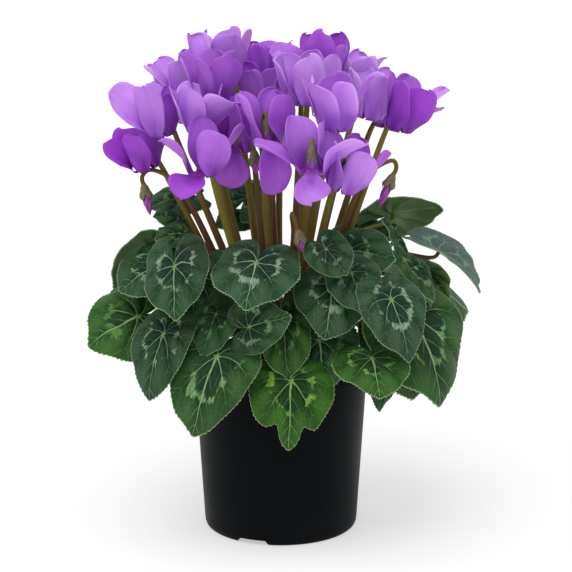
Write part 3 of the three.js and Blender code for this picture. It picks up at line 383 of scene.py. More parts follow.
# Pieces
class Build:
    """The corners, faces and values of one piece, gathered part by part in millimetres."""

    def __init__(self):
        self.points, self.faces, self.uv, self.kinds = [], [], [], []
        self.values = {}

    def add(self, points, faces, uv=None, kind=0, **values):
        """A part with its own corners and faces, its places over the shape and a value at each corner."""
        first, count = len(self.points), len(points)
        self.points.extend(map(tuple, points))
        self.faces.extend([first + i for i in face] for face in faces)
        self.uv.extend(map(tuple, uv) if uv is not None else [(0.5, 0.5)] * count)
        self.kinds.extend([kind] * len(faces))
        for name, value in values.items():
            held = self.values.setdefault(name, [])
            held.extend([0.0] * (first - len(held)))
            held.extend(np.broadcast_to(value, count).tolist())

    def tube(self, rings, kind=0, **values):
        """A closed skin over a run of rings, along runs from 0 to 1 down its length."""
        count, sides = rings.shape[:2]
        index = np.arange(count * sides).reshape(count, sides)
        faces = grid_faces(closed(index))
        faces.append(tuple(index[0, ::-1]))
        faces.append(tuple(index[-1]))
        uv = [(k / sides, i / (count - 1)) for i in range(count) for k in range(sides)]
        self.add(rings.reshape(-1, 3), faces, uv, kind, **values)

    def make(self, name, materials, sharp=None):
        """The finished object, smooth but for edges sharper than this many degrees."""
        mesh = bpy.data.meshes.new(name)
        mesh.from_pydata([tuple(MM * c for c in p) for p in self.points], [], self.faces)
        corners = np.zeros(len(mesh.loops), np.int32)
        mesh.loops.foreach_get("vertex_index", corners)
        layer = mesh.uv_layers.new(name="shape")
        layer.data.foreach_set("uv", vec(self.uv)[corners].astype(np.float32).ravel())
        for key, value in self.values.items():
            value = value + [0.0] * (len(self.points) - len(value))
            mesh.attributes.new(key, "FLOAT", "POINT").data.foreach_set("value", value)
        for material in materials:
            mesh.materials.append(material)
        mesh.polygons.foreach_set("material_index", self.kinds)
        mesh.polygons.foreach_set("use_smooth", [True] * len(self.faces))
        if sharp is not None:
            mesh.set_sharp_from_angle(angle=math.radians(sharp))
        mesh.update()
        piece = bpy.data.objects.new(name, mesh)
        bpy.context.scene.collection.objects.link(piece)
        return piece


def thicken(piece, thickness, under=0):
    """Gives a thin sheet its thickness, with another material on the side it turns away."""
    solid = piece.modifiers.new("thickness", "SOLIDIFY")
    solid.thickness = thickness
    solid.offset = 0
    solid.material_offset = under
    solid.material_offset_rim = under
    return piece


def dress(piece, slot, *nodes):
    """The piece moves with the plant and stands for these solids, which are hidden. The slot is not used."""
    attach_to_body(piece, "root")
    if nodes:
        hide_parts(*nodes)
    return piece


# Finding where the solids were set
def corners_of(name):
    """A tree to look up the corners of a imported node, in millimetres."""
    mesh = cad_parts[name].data
    tree = KDTree(len(mesh.vertices))
    for i, vertex in enumerate(mesh.vertices):
        tree.insert(vertex.co / MM, i)
    tree.balance()
    return tree


def closest(options, make, tree):
    """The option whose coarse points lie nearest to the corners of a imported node."""

    def misfit(option):
        return float(np.mean([tree.find(p)[2] for p in make(option)]))

    return min(options, key=misfit)


def shift_of(row, way, make):
    """How far along its way a leaf or bloom was moved to make room."""
    along = unit(way)
    tree = corners_of(row.get("node", row["name"]))
    return closest([along * STEP * i for i in range(STEPS + 1)], make, tree)


# Leaf
def leaf_axes(row):
    """A leaf's junction, its three directions and the length from junction to tip."""
    attach = vec(row["attach"])
    along = vec(row["tip"]) - attach
    long = np.linalg.norm(along)
    along = along / long
    face = vec(row["face"])
    face = unit(face - face.dot(along) * along)
    return attach, along, face, np.cross(along, face), long


def leaf_place(row, bearing, share, reach, lift=0.0, narrow=1.0):
    """Points of a blade at these bearings, shares of the reach and lifts off its face."""
    attach, along, face, across, long = leaf_axes(row)
    turn = np.radians(bearing + row.get("skew", 0) * (np.abs(bearing) / 180) ** 2)
    x = np.sin(turn) * share * reach * row.get("wide", 1) * narrow
    ahead = np.cos(turn) * share * reach
    y = np.where(ahead < 0, ahead * row.get("lobes", 1), ahead)
    bow = 4 * row.get("arch", 0.08) * y * (1 - y)
    ripple = row.get("wave", 0.03) * share**2 * np.sin(3 * turn + 0.6)
    up = bow - row.get("cup", 0.22) * x * x + ripple
    made = attach + np.outer(x * long, across) + np.outer(y * long, along) + np.outer(up * long, face)
    return made + np.outer(np.broadcast_to(lift, x.shape), face)


def leaf_coarse(row, shift):
    """The corners of a leaf's outline, as the solids have them."""
    bearings, reaches = [], []
    last = len(LEAF_OUTLINE) - 1
    for i in range(2 * last):
        side = 1 if i <= last else -1
        bearing, reach = LEAF_OUTLINE[i if i <= last else 2 * last - i]
        bearings.append(side * bearing)
        reaches.append(reach * LEAF_TEETH[i % 2])
    return leaf_place(row, vec(bearings), 1.0, vec(reaches)) + shift


def outline_reach(bearing):
    """How far the fine blade reaches at a bearing, as a share of its length."""
    knots, reaches = zip(*BLADE_OUTLINE)
    return smooth_between(knots, reaches, np.abs(bearing))


# The main veins leave the junction this far apart, in radians, and bend together towards the tip.
VEIN_SPREAD = 0.98
VEIN_BEND = 0.6


def vein_distance(bearing, rho):
    """How far a point of the blade lies from the nearest main vein, as a share of its length."""
    bent = 1 + VEIN_BEND * rho
    phase = np.abs(np.radians(bearing)) * bent / VEIN_SPREAD
    return np.abs(phase - np.round(phase)) * VEIN_SPREAD / bent * rho


# A blade's rings: points round each inner ring, three times as many round the rim, and where the rings lie.
INNER = 96
OUTER = 3 * INNER
INNER_SHARES = [0.08, 0.17, 0.27, 0.37, 0.47, 0.57, 0.67, 0.77, 0.86, 0.93]
OUTER_SHARES = [0.97, 1.0]
# The rise of the four points of one tooth, from one point of the rim to the next.
TOOTH = [-0.4, 0.5, 1.0, 0.2]


def blade_grid():
    """The bearing and the share of the reach of every point of a blade, ring by ring."""
    bearings, shares = [0.0], [0.0]
    for ring, sides in [(INNER_SHARES, INNER), (OUTER_SHARES, OUTER)]:
        for share in ring:
            bearings.extend(-180 + 360 * np.arange(sides) / sides)
            shares.extend([share] * sides)
    return vec(bearings), vec(shares)


def blade_faces():
    """A fan at the junction, the inner grid, a step up in number, and the rim."""
    inner = 1 + np.arange(len(INNER_SHARES) * INNER).reshape(-1, INNER)
    outer = inner.max() + 1 + np.arange(len(OUTER_SHARES) * OUTER).reshape(-1, OUTER)
    faces = [(0, b, a) for a, b in zip(inner[0], np.roll(inner[0], -1))]
    faces += grid_faces(closed(inner))
    for k in range(INNER):
        a, b = inner[-1, k], inner[-1, (k + 1) % INNER]
        p = [outer[0, (3 * k + j) % OUTER] for j in range(4)]
        faces += [(a, p[1], p[0]), (a, b, p[2], p[1]), (b, p[3], p[2])]
    return faces + grid_faces(closed(outer))


def blade_reach(row, bearings, shares, tooth, phase):
    """How far the blade reaches at every point: its outline, unevenness and teeth."""
    turn = np.radians(bearings)
    off_tip = np.abs(bearings)
    reach = outline_reach(bearings) * row.get("grow", 1)
    if "closed" in row:
        reach = np.maximum(reach, row["closed"] * np.clip((off_tip - 140) / 15, 0, 1))
    reach *= 1 - 0.2 * row.get("drip", 0) * np.exp(-(((off_tip - 21) / 9) ** 2))
    uneven = 0.03 * np.sin(3 * turn + 2 * phase) + 0.024 * np.sin(5 * turn + phase)
    uneven += 0.014 * np.sin(9 * turn + 3 * phase)
    saw = [TOOTH[i % 4] * (0.6 + 0.4 * math.sin(0.37 * i + phase)) for i in range(OUTER)]
    teeth = np.zeros(len(bearings))
    teeth[shares == 1.0] = vec(saw) * tooth
    return reach * (1 + uneven * shares) + teeth


def blade_lift(row, bearings, shares, rho, settings, phase, strength):
    """How far every point stands off the plain blade, in millimetres: swellings, waves, curl and fold."""
    turn = np.radians(bearings)
    long = leaf_axes(row)[4]
    quilt = 1 - np.exp(-((vein_distance(bearings, rho) / 0.06) ** 2))
    fade = np.clip(rho / 0.12, 0, 1) * np.clip((1.03 - shares) / 0.3, 0, 1)
    wavy = 0.6 * np.sin(5 * turn + phase) + 0.4 * np.sin(8 * turn + 2 * phase) + 0.2 * np.sin(13 * turn)
    curl = np.clip((shares - 0.75) / 0.25, 0, 1) ** 2 * (1 + 0.6 * np.sin(3 * turn + phase))
    fold = row.get("fold", 0) * np.abs(np.sin(turn)) * rho
    wave = settings.waviness * strength * shares**3 * wavy
    return settings.quilting / MM * (quilt - 0.6) * fade + long * (wave - settings.curl * curl + fold)


def leaf_blade(row, shift, settings, seed):
    """The fine blade: its points, their places on the blade and their shares of the reach."""
    rng = random.Random(seed)
    phase = rng.uniform(0, 6)
    bearings, shares = blade_grid()
    tooth = settings.tooth_depth / MM / leaf_axes(row)[4]
    reach = blade_reach(row, bearings, shares, tooth, phase)
    rho = shares * reach
    lift = blade_lift(row, bearings, shares, rho, settings, phase, rng.uniform(0.5, 1.4))
    points = leaf_place(row, bearings, shares, reach, lift, row.get("narrow", 1)) + shift
    turn = np.radians(bearings)
    uv = np.column_stack([0.5 + 0.5 * np.sin(turn) * rho, 0.5 + 0.5 * np.cos(turn) * rho])
    return points, uv, shares


# Bloom
def bloom_axes(row, shift):
    """A bloom's axis, the top of its tube and the way out from its axis at a bearing."""
    up = unit(row["lean"])
    return up, vec(row["mouth"]) + shift + up * TUBE_LENGTH, around(up)


# Steps along a petal's middle line to its length's end, and the steps where the solids have corners.
PATH_STEPS = 24
PATH_CORNERS = [10, 21, 24]
# Petals with a wider flare than this hang down.
HANGING = 100


def petal_path(flare, long):
    """Radius, height and angle along a petal's middle line, from its bend to past its tip."""
    hanging = flare > HANGING
    start = flare - 25 if hanging else 0.35 * flare
    r, z = (6.4, -11.5) if hanging else (9, -10)
    track = [(r, z, start)]
    for i in range(1, PATH_STEPS + 3):
        angle = start + (flare - start) * min(1, 1.6 * i / PATH_STEPS)
        r += long / PATH_STEPS * math.sin(math.radians(angle))
        z += long / PATH_STEPS * math.cos(math.radians(angle))
        track.append((r, z, angle))
    return np.array(track)


def bloom_coarse(row, shift):
    """The corners of a bloom's petals, as the solids have them, without their thickness."""
    up, top, outward = bloom_axes(row, shift)
    points = []
    for k, flare in enumerate(row["flares"]):
        out = outward(row.get("spin", 0) + PETAL_STEP * k)
        track = petal_path(flare, PETAL_LENGTH * row.get("scale", EVEN)[k])
        points.extend(top + out * r + up * z for r, z, _ in track[PATH_CORNERS])
    return points


PETAL_COLUMNS = 15
PETAL_ROWS = 22
BASE_ROWS = 6
HALF_WIDTH = 12.4
# Along a petal 0 is at its bend and 1 at its length's end: where it leaves the tube, is widest and ends.
PETAL_FOOT = -0.25
PETAL_WIDEST = 0.55
PETAL_END = 1.03


def petal_width(t, blunt):
    """Half a petal's width along it, as a share of the widest half width."""
    low = 0.4 + 0.6 * np.sin(0.5 * math.pi * np.clip(t / PETAL_WIDEST, 0, 1))
    end = np.clip((t - PETAL_WIDEST) / (PETAL_END - PETAL_WIDEST), 0, 1)
    return low * (1 - end**blunt) ** (1 / blunt)


def petal_base(top, up, outward, bearing, start, heading, reach):
    """The petal's foot: from the tube's mouth and round to the blade's first row."""
    s = np.linspace(-1, 1, PETAL_COLUMNS)
    mouth = top + outward(bearing + PETAL_STEP / 2 * s) * TUBE_RADII[1] - up * TUBE_LENGTH
    shares = np.linspace(0, 1, BASE_ROWS + 1)[:-1]
    runs = [bezier(a, a - up * 2.4, b - heading * reach, b, shares) for a, b in zip(mouth, start)]
    return np.array(runs).transpose(1, 0, 2), PETAL_FOOT * (1 - shares)


def petal_sheet(row, shift, k, settings, rng):
    """One petal as a grid of points: out of the tube's mouth, round the bend and on to its rounded end."""
    up, top, outward = bloom_axes(row, shift)
    flare, scale = row["flares"][k], row.get("scale", EVEN)[k]
    twist = row.get("twists", TWISTS)[k]
    bearing = row.get("spin", 0) + PETAL_STEP * k
    out, side = outward(bearing), outward(bearing + 90)
    longer, wider = row.get("trim", {}).get(k, (1, 1))
    track = petal_path(flare, PETAL_LENGTH * scale * longer)
    t = PETAL_END * np.sin(0.5 * math.pi * np.arange(PETAL_ROWS) / (PETAL_ROWS - 1))
    s = np.linspace(-1, 1, PETAL_COLUMNS)
    r, z, angle = (np.interp(PATH_STEPS * t, np.arange(len(track)), track[:, i]) for i in range(3))
    angle = np.radians(angle)
    width = petal_width(t, rng.uniform(2.1, 2.8)) * HALF_WIDTH * wider * rng.uniform(0.76, 1.02)
    middle = top + np.outer(r, out) + np.outer(z, up)
    normal = np.outer(np.cos(angle), out) - np.outer(np.sin(angle), up)
    heading = np.outer(np.sin(angle), out) + np.outer(np.cos(angle), up)
    turn = np.radians(twist * np.minimum(1, 2.6 * t) + rng.uniform(-24, 24) * np.clip(t - 0.3, 0, 1))
    across = np.outer(np.cos(turn), side) + normal * np.sin(turn)[:, None]
    phase, cup, uneven = rng.uniform(0, 6), rng.uniform(0.08, 0.34), rng.uniform(-0.1, 0.1)
    fold, folded, tip_curl = rng.uniform(0, 1.3), rng.choice((-1, 1)), rng.uniform(-3.2, 2.2)
    wave = np.sin(7 * t[:, None] + 3.5 * np.sign(s)[None, :] + phase)
    lift = settings.ripple / MM * np.outer(t, s**2) * wave
    lift -= np.outer(width * t, cup * s**2 + fold * np.clip(folded * s - 0.45, 0, 1) ** 2)
    lift -= rng.uniform(0.0, 0.26) * np.outer(width * (1 - 0.5 * t), np.abs(s))
    lift += tip_curl * np.outer(np.clip(t - 0.5, 0, 1) ** 2 / 0.28, np.ones_like(s))
    slant, notch = rng.uniform(-1.6, 1.6), rng.uniform(0, 0.4)
    ahead = np.outer(np.clip(t - 0.35, 0, 1) / 0.65, slant * s + notch * np.sin(4.2 * s + phase))
    edge = 1 + 0.05 * np.outer(np.sin(6.5 * t + phase), s) + 0.025 * np.sin(9 * t + 2 * phase)[:, None]
    aside = np.outer(width, s * (1 + uneven * s)) * edge
    blade = middle[:, None, :]
    for way, far in [(across, aside), (normal, lift), (heading, ahead)]:
        blade = blade + way[:, None, :] * far[:, :, None]
    reach = 1.6 if flare > HANGING else 2.6
    base, foot = petal_base(top, up, outward, bearing, blade[0], heading[0], reach)
    grid = np.concatenate([base, blade])
    faces = grid_faces(np.arange(grid.size // 3).reshape(grid.shape[:2]))
    along = (np.concatenate([foot, t]) - PETAL_FOOT) / (PETAL_END - PETAL_FOOT)
    return grid.reshape(-1, 3), faces, [(0.5 + 0.5 * c, a) for a in along for c in s]


def revolve(top, up, outward, profile, sides, lobes=0.0, turned=0.0):
    """Rings of a profile of (radius, height) about a flower's axis."""
    turns = 360 * np.arange(sides) / sides
    spokes = outward(turns)
    wave = 1 + lobes * np.cos(np.radians(5 * (turns - turned)))
    return np.array([top + spokes * (radius * wave)[:, None] + up * height for radius, height in profile])


# Profiles about a flower's axis, as radius and height.
CUP = [(1.3, 7.2), (1.7, 5.8), (2.6, 4.2), (3.15, 2.2), (3.3, 0.8)]
TUBE = [(TUBE_RADII[0], 0.6), (3.1, -1.5), (3.5, -4), (4.0, -6.3), (TUBE_RADII[1], -TUBE_LENGTH)]
PISTIL = [(0.1, -9.8), (0.45, -9.6), (0.5, -7.5), (1.6, -6.8), (2.1, -4.0), (1.4, -1.0), (0.2, -0.6)]
SEPAL_ROWS = 8
SEPAL_COLUMNS = 5


def calyx(build, top, up, outward, turned, reach, bulge=0.0):
    """The cup at the stem's end and its five pointed sepals, which lie along the tube."""
    build.tube(revolve(top, up, outward, CUP, 20, 0.04, turned)[::-1], along=0.6)
    count = SEPAL_ROWS * SEPAL_COLUMNS
    index = np.arange(count).reshape(SEPAL_ROWS, SEPAL_COLUMNS)
    outer = grid_faces(index.T)
    inner = [tuple(count + c for c in reversed(face)) for face in outer]
    first, last = index[:, 0], index[:, -1]
    rim = grid_faces(np.array([first, count + first]).T) + grid_faces(np.array([last, count + last]))
    uv = 2 * [(c, t) for t in np.linspace(0, 1, SEPAL_ROWS) for c in np.linspace(0, 1, SEPAL_COLUMNS)]
    for k in range(PETALS):
        bearing = turned + PETAL_STEP * k
        rows = []
        for t in np.linspace(0, 1, SEPAL_ROWS):
            half = 34 * (1 - t**1.6) + 0.5
            radius = 3.3 + 0.75 * t * reach / 7 + 0.5 * t**4 + bulge * (math.sin(math.pi * t) - 1.3 * t**3)
            bearings = bearing + half * np.linspace(-1, 1, SEPAL_COLUMNS)
            rows.append(top + outward(bearings) * radius + up * (1.6 - t * reach))
        skin = np.array(rows).reshape(-1, 3)
        build.add(np.concatenate([skin, skin - outward(bearing) * 0.5]), outer + inner + rim, uv, along=0.8)


# Stalks
def bows():
    """Ways in which a stem's middle may bow aside, straight first."""
    made = []
    for far in (0, 7, 14, 21):
        for bearing in range(0, 360, 45) if far else [0]:
            made.append((far * math.sin(math.radians(bearing)), -far * math.cos(math.radians(bearing)), 0))
    return made


def stem_foot(top, ring):
    """Where a stem that ends over there leaves the tuber, this far from its middle."""
    bearing = math.atan2(top[1], top[0])
    return vec((ring * math.cos(bearing), ring * math.sin(bearing), STEM_FOOT))


def stem_points(row, shift, order, bow):
    """The corners of a flower stem, hooked over between two of its petals."""
    up, top, outward = bloom_axes(row, shift)
    inward = vec((-top[0], -top[1] + 12, 0))
    gaps = [outward(row.get("spin", 0) + PETAL_STEP * (k + 0.5)) for k in range(PETALS)]
    gap = sorted(gaps, key=lambda g: -g.dot(inward))[order]
    hook = [top + gap * r + up * z for r, z in STEM_HOOK]
    ring = min(STEM_RINGS[BLOOMS.index(row) % 3], math.hypot(top[0], top[1]) / 3)
    foot = stem_foot(top, ring)
    return [foot, (foot + hook[0]) / 2 + vec(bow), *hook]


def bud_axes(row):
    return unit(row["hang"]), vec(row["neck"])


def bud_stem_points(row, bow):
    """The corners of a bud's stem, hooked over so that the bud hangs."""
    hang, neck = bud_axes(row)
    back = unit((-neck[0], -neck[1], 0))
    foot = stem_foot(neck, STEM_RINGS[BUDS.index(row) % 3])
    over = row.get("over", 14)
    spots = [(over + 3, 2), (0.7 * over, 13), (0.25 * over, 15.5), (0, 11), (0, 4), (0, SEAT)]
    bend = [neck + back * r - hang * z for r, z in spots]
    return [foot, (foot + bend[0]) / 2 + vec(bow), *bend]


def leaf_seat(row, shift):
    """Where the stalk meets the blade, and the way the blade looks there."""
    spokes = LEAF_OUTLINE[::2] + [(-bearing, reach) for bearing, reach in LEAF_OUTLINE[-3:0:-2]]
    bearings, reaches = zip(*spokes)
    ring = leaf_place(row, vec(bearings), 0.5, vec(reaches) * LEAF_TEETH[0]) + shift
    centre = vec(row["attach"]) + shift
    normal = np.zeros(3)
    for a, b in zip(ring, np.roll(ring, -1, axis=0)):
        normal += np.cross(b - centre, a - centre)
    normal = unit(normal)
    return normal, centre - normal * BLADE_DEPTH


def petiole_curve(row, shift, turn, rise, under):
    """The four handles of a leaf stalk's curve, and the point where it ends."""
    normal, point = leaf_seat(row, shift)
    low = point - normal * PETIOLE_TIP
    bearing = math.atan2(point[1], point[0]) + math.radians(turn)
    out = vec((math.cos(bearing), math.sin(bearing), 0))
    foot = out * PETIOLE_RINGS[LEAVES.index(row) % 3]
    foot[2] = CROWN
    span = np.linalg.norm(foot - point)
    first = foot + vec((0, 0, rise * span)) + out * 0.12 * span
    return foot, first, low - normal * under * span, low, point


def stalk_routes(bloom_shifts, leaf_shifts):
    """The corners of every stem and the curve of every leaf stalk, as the solids have them."""
    tree = corners_of("stalks")
    stems, petioles = [], []
    for row in BLOOMS:
        shift = bloom_shifts[row["name"]]

        def corners(option, row=row, shift=shift):
            return stalk_rings(stem_points(row, shift, *option), STEM_RADII, 4)[1:].reshape(-1, 3)

        options = [(order, bow) for order in range(PETALS) for bow in bows()]
        stems.append((row, stem_points(row, shift, *closest(options, corners, tree))))
    for row in BUDS:

        def corners(bow, row=row):
            return stalk_rings(bud_stem_points(row, bow), STEM_RADII, 4)[1:].reshape(-1, 3)

        stems.append((row, bud_stem_points(row, closest(bows(), corners, tree))))
    for row in LEAVES:
        shift = leaf_shifts[row["name"]]

        def corners(option, row=row, shift=shift):
            *handles, point = petiole_curve(row, shift, *option)
            run = [*bezier(*handles, np.arange(4) / 3), point]
            radii = np.interp(range(5), [0, 3], PETIOLE_RADII)
            return stalk_rings(run, radii, 4)[1:].reshape(-1, 3)

        options = [(turn, *shape) for turn in PETIOLE_TURNS for shape in PETIOLE_SHAPES]
        petioles.append((row, petiole_curve(row, shift, *closest(options, corners, tree))))
    return stems, petioles


placed = {}


def placements():
    """Where the solids of every bloom, leaf and stalk were set, found once."""
    if not placed:
        placed["blooms"] = {
            row["name"]: shift_of(row, BACK, lambda shift, row=row: bloom_coarse(row, shift))
            for row in BLOOMS
        }
        placed["leaves"] = {
            row["name"]: shift_of(row, row.get("way", row["face"]), lambda s, row=row: leaf_coarse(row, s))
            for row in LEAVES
        }
        placed["stems"], placed["petioles"] = stalk_routes(placed["blooms"], placed["leaves"])
    return placed


# Shader nodes
def feed(tree, socket, value):
    """Links a value to a socket, or sets it there."""
    if isinstance(value, bpy.types.NodeSocket):
        tree.links.new(value, socket)
    else:
        socket.default_value = value


def node(tree, kind, into=None, **settings):
    made = tree.nodes.new("ShaderNode" + kind)
    for name, value in settings.items():
        setattr(made, name, value)
    for name, value in (into or {}).items():
        feed(tree, made.inputs[name], value)
    return made


def calc(tree, operation, *values, clamp=False):
    made = node(tree, "Math", dict(enumerate(values)), operation=operation)
    made.use_clamp = clamp
    return made.outputs[0]


def times(tree, a, b, clamp=False):
    return calc(tree, "MULTIPLY", a, b, clamp=clamp)


def plus(tree, a, b):
    return calc(tree, "ADD", a, b)


def minus(tree, a, b):
    return calc(tree, "SUBTRACT", a, b)


def times_plus(tree, a, b, c, clamp=False):
    """One value times another, plus a third."""
    return calc(tree, "MULTIPLY_ADD", a, b, c, clamp=clamp)


def clamped(tree, value):
    """The value held between 0 and 1."""
    return calc(tree, "ADD", value, 0.0, clamp=True)


def stretched(tree, vector, scales):
    """A place with each of its directions scaled, so that a pattern over it is drawn out."""
    return node(tree, "VectorMath", {0: vector, 1: scales}, operation="MULTIPLY").outputs[0]


def offset(tree, vector, by):
    return node(tree, "VectorMath", {0: vector, 1: by}, operation="ADD").outputs[0]


def ramp(tree, value, low, high, start=0.0, end=1.0):
    """A soft step of a value: start below low, end above high."""
    into = {"Value": value, "From Min": low, "From Max": high, "To Min": start, "To Max": end}
    return node(tree, "MapRange", into, interpolation_type="SMOOTHSTEP").outputs["Result"]


def blend(tree, share, a, b):
    """Two colours mixed by a share."""
    made = tree.nodes.new("ShaderNodeMix")
    made.data_type = "RGBA"
    feed(tree, made.inputs[0], share)
    for socket, value in ((made.inputs[6], a), (made.inputs[7], b)):
        feed(tree, socket, value if isinstance(value, bpy.types.NodeSocket) else (*value, 1))
    return made.outputs[2]


def value_of(tree, name):
    """A value that the piece carries at each of its points."""
    return node(tree, "Attribute", attribute_name=name).outputs["Fac"]


def noise_of(tree, vector, scale, detail=3.0, roughness=0.55):
    into = {"Vector": vector, "Scale": scale, "Detail": detail, "Roughness": roughness}
    return node(tree, "TexNoise", into).outputs["Fac"]


def group_of(name, inputs, outputs, fill):
    """A shared node group, built once."""
    if name in bpy.data.node_groups:
        return bpy.data.node_groups[name]
    group = bpy.data.node_groups.new(name, "ShaderNodeTree")
    for label, kind, default in inputs:
        socket = group.interface.new_socket(label, in_out="INPUT", socket_type="NodeSocket" + kind)
        if default is not None:
            socket.default_value = default
    for label, kind in outputs:
        group.interface.new_socket(label, in_out="OUTPUT", socket_type="NodeSocket" + kind)
    given = group.nodes.new("NodeGroupInput").outputs
    results = fill(group, given)
    end = group.nodes.new("NodeGroupOutput")
    for label, result in results.items():
        group.links.new(result, end.inputs[label])
    return group


def use(tree, group, **values):
    """A node group placed in a material, with its own values."""
    made = tree.nodes.new("ShaderNodeGroup")
    made.node_tree = group
    for name, value in values.items():
        feed(tree, made.inputs[name], value)
    return made.outputs


def material(name):
    """A new material with a Principled shader, and its node tree."""
    made = bpy.data.materials.new(name)
    made.use_nodes = True
    tree = made.node_tree
    return made, tree, tree.nodes["Principled BSDF"]


def finish_surface(tree, shader, base, rough, height=None, strength=0.4, distance=0.0005, shine=0.5):
    """Feeds the Principled shader: colour, roughness, a bump of this height, and how much it shines."""
    feed(tree, shader.inputs["Base Color"], base)
    feed(tree, shader.inputs["Roughness"], rough)
    shader.inputs["Specular IOR Level"].default_value = shine
    if height is not None:
        bump = node(tree, "Bump", {"Height": height, "Strength": strength, "Distance": distance})
        feed(tree, shader.inputs["Normal"], bump.outputs["Normal"])


def vein_group():
    """Main veins that fan from the junction and bend to the tip, their side veins, the fine net, and where
    painted shade lies beside the veins.
    """

    def fill(tree, given):
        into = {"Vector": given["Blade"], "Scale": 4.0, "Detail": 2.0, "W": given["Seed"]}
        drift = node(tree, "TexNoise", into, noise_dimensions="4D").outputs["Color"]
        centred = node(tree, "VectorMath", {0: drift, 1: (0.5, 0.5, 0.5)}, operation="SUBTRACT").outputs[0]
        into = {0: centred, 1: (0.075, 0.075, 0.0), 2: given["Blade"]}
        moved = node(tree, "VectorMath", into, operation="MULTIPLY_ADD").outputs[0]
        parts = node(tree, "SeparateXYZ", {0: moved}).outputs
        x = times_plus(tree, parts[0], 2.0, -1.0)
        y = times_plus(tree, parts[1], 2.0, -1.0)
        bearing = calc(tree, "ARCTAN2", x, y)
        rho = calc(tree, "SQRT", times_plus(tree, x, x, times(tree, y, y)))
        bent = times_plus(tree, rho, VEIN_BEND, 1.0)
        phase = calc(tree, "DIVIDE", times(tree, calc(tree, "ABSOLUTE", bearing), bent), VEIN_SPREAD)
        nearest = calc(tree, "ROUND", phase)
        off = calc(tree, "ABSOLUTE", minus(tree, phase, nearest))
        gap = times(tree, calc(tree, "DIVIDE", times(tree, off, VEIN_SPREAD), bent), rho)
        midrib = calc(tree, "LESS_THAN", nearest, 0.5)
        width = times(tree, given["Width"], minus(tree, 1.1, rho))
        width = times(tree, width, plus(tree, midrib, 1.0))
        main = ramp(tree, gap, times(tree, width, 0.3), width, 1.0, 0.0)
        outer_fade = times(tree, ramp(tree, rho, 0.35, 0.6, 1.0, 0.22), 0.8)
        main = times(tree, main, calc(tree, "MAXIMUM", outer_fade, midrib))
        lag = times_plus(tree, gap, -2.0, -1.1)
        along = times_plus(tree, gap, lag, minus(tree, rho, 0.22))
        order = calc(tree, "DIVIDE", along, 0.2)
        away = calc(tree, "ABSOLUTE", minus(tree, order, calc(tree, "ROUND", order)))
        side = ramp(tree, times(tree, away, 0.11), 0.001, 0.007, 1.0, 0.0)
        side = times(tree, side, ramp(tree, order, -0.3, 0.1))
        side = times(tree, side, ramp(tree, gap, 0.07, 0.2, 1.0, 0.1))
        side = times(tree, side, times_plus(tree, midrib, 0.45, 0.25))
        cells = node(tree, "TexVoronoi", {"Vector": moved, "Scale": 34.0}, feature="DISTANCE_TO_EDGE")
        # Where the blade dips beside a main vein: the mask for painted shade there.
        beside = times(tree, ramp(tree, gap, 0.01, 0.1, 1.0, 0.0), ramp(tree, rho, 0.5, 0.9, 1.0, 0.4))
        return {
            "Main": main,
            "Side": side,
            "Net": ramp(tree, cells.outputs["Distance"], 0.0, 0.12, 1.0, 0.0),
            "Between": times(tree, off, 2.0),
            "ShadeBeside": beside,
            "Reach": rho,
            "Bearing": bearing,
        }

    inputs = [("Blade", "Vector", None), ("Width", "Float", 0.02), ("Seed", "Float", 0.0)]
    names = ("Main", "Side", "Net", "Between", "ShadeBeside", "Reach", "Bearing")
    outputs = [(name, "Float") for name in names]
    return group_of("Leaf veins", inputs, outputs, fill)


def grain_group():
    """Broad drift and fine grain over any surface."""

    def fill(tree, given):
        broad = noise_of(tree, given["Vector"], given["Broad"], 2.0)
        fine = noise_of(tree, given["Vector"], given["Fine"], 4.0, 0.6)
        return {"Broad": ramp(tree, broad, 0.3, 0.7), "Fine": ramp(tree, fine, 0.25, 0.75)}

    inputs = [("Vector", "Vector", None), ("Broad", "Float", 20.0), ("Fine", "Float", 200.0)]
    return group_of("Grain", inputs, [("Broad", "Float"), ("Fine", "Float")], fill)


def object_place(tree):
    """The place in the part's frame."""
    return node(tree, "TexCoord").outputs["Object"]


def shape_place(tree):
    """The place over a blade, a petal or a tube."""
    return node(tree, "UVMap", uv_map="shape").outputs["UV"]


def marbling(tree, veins, grain, shifted, share, seed):
    """Where the pale marbling lies: a broken, feathered band between heart and rim, and a few dots."""
    centre = times_plus(tree, veins["Between"], 0.1, 0.53)
    centre = times_plus(tree, grain["Broad"], -0.12, centre)
    apart = calc(tree, "ABSOLUTE", minus(tree, share, centre))
    fan = node(tree, "CombineXYZ", {0: veins["Bearing"], 1: veins["Reach"], 2: seed}).outputs[0]
    rays = stretched(tree, fan, (1.7, 0.5, 1.0))
    wide = ramp(tree, noise_of(tree, rays, 1.0, 2.0, 0.5), 0.36, 0.64, -0.02, 0.085)
    spikes = stretched(tree, fan, (11.0, 2.6, 1.0))
    spikes = times_plus(tree, noise_of(tree, spikes, 1.0, 3.0, 0.65), 0.3, -0.15)
    off = minus(tree, plus(tree, apart, spikes), wide)
    band = ramp(tree, off, -0.02, 0.012, 1.0, 0.0)
    broken = ramp(tree, noise_of(tree, shifted, 4.5, 3.0, 0.65), 0.4, 0.5, 0.1, 1.0)
    specks = ramp(tree, noise_of(tree, shifted, 19.0, 3.0, 0.7), 0.36, 0.56, 0.5, 1.0)
    patch = times(tree, times(tree, band, broken), times(tree, specks, value_of(tree, "marks")))
    dots = node(tree, "TexVoronoi", {"Vector": shifted, "Scale": 22.0}).outputs["Distance"]
    dots = times(tree, ramp(tree, dots, 0.05, 0.12, 1.0, 0.0), ramp(tree, share, 0.5, 0.75))
    return calc(tree, "MAXIMUM", patch, times(tree, dots, 0.5))


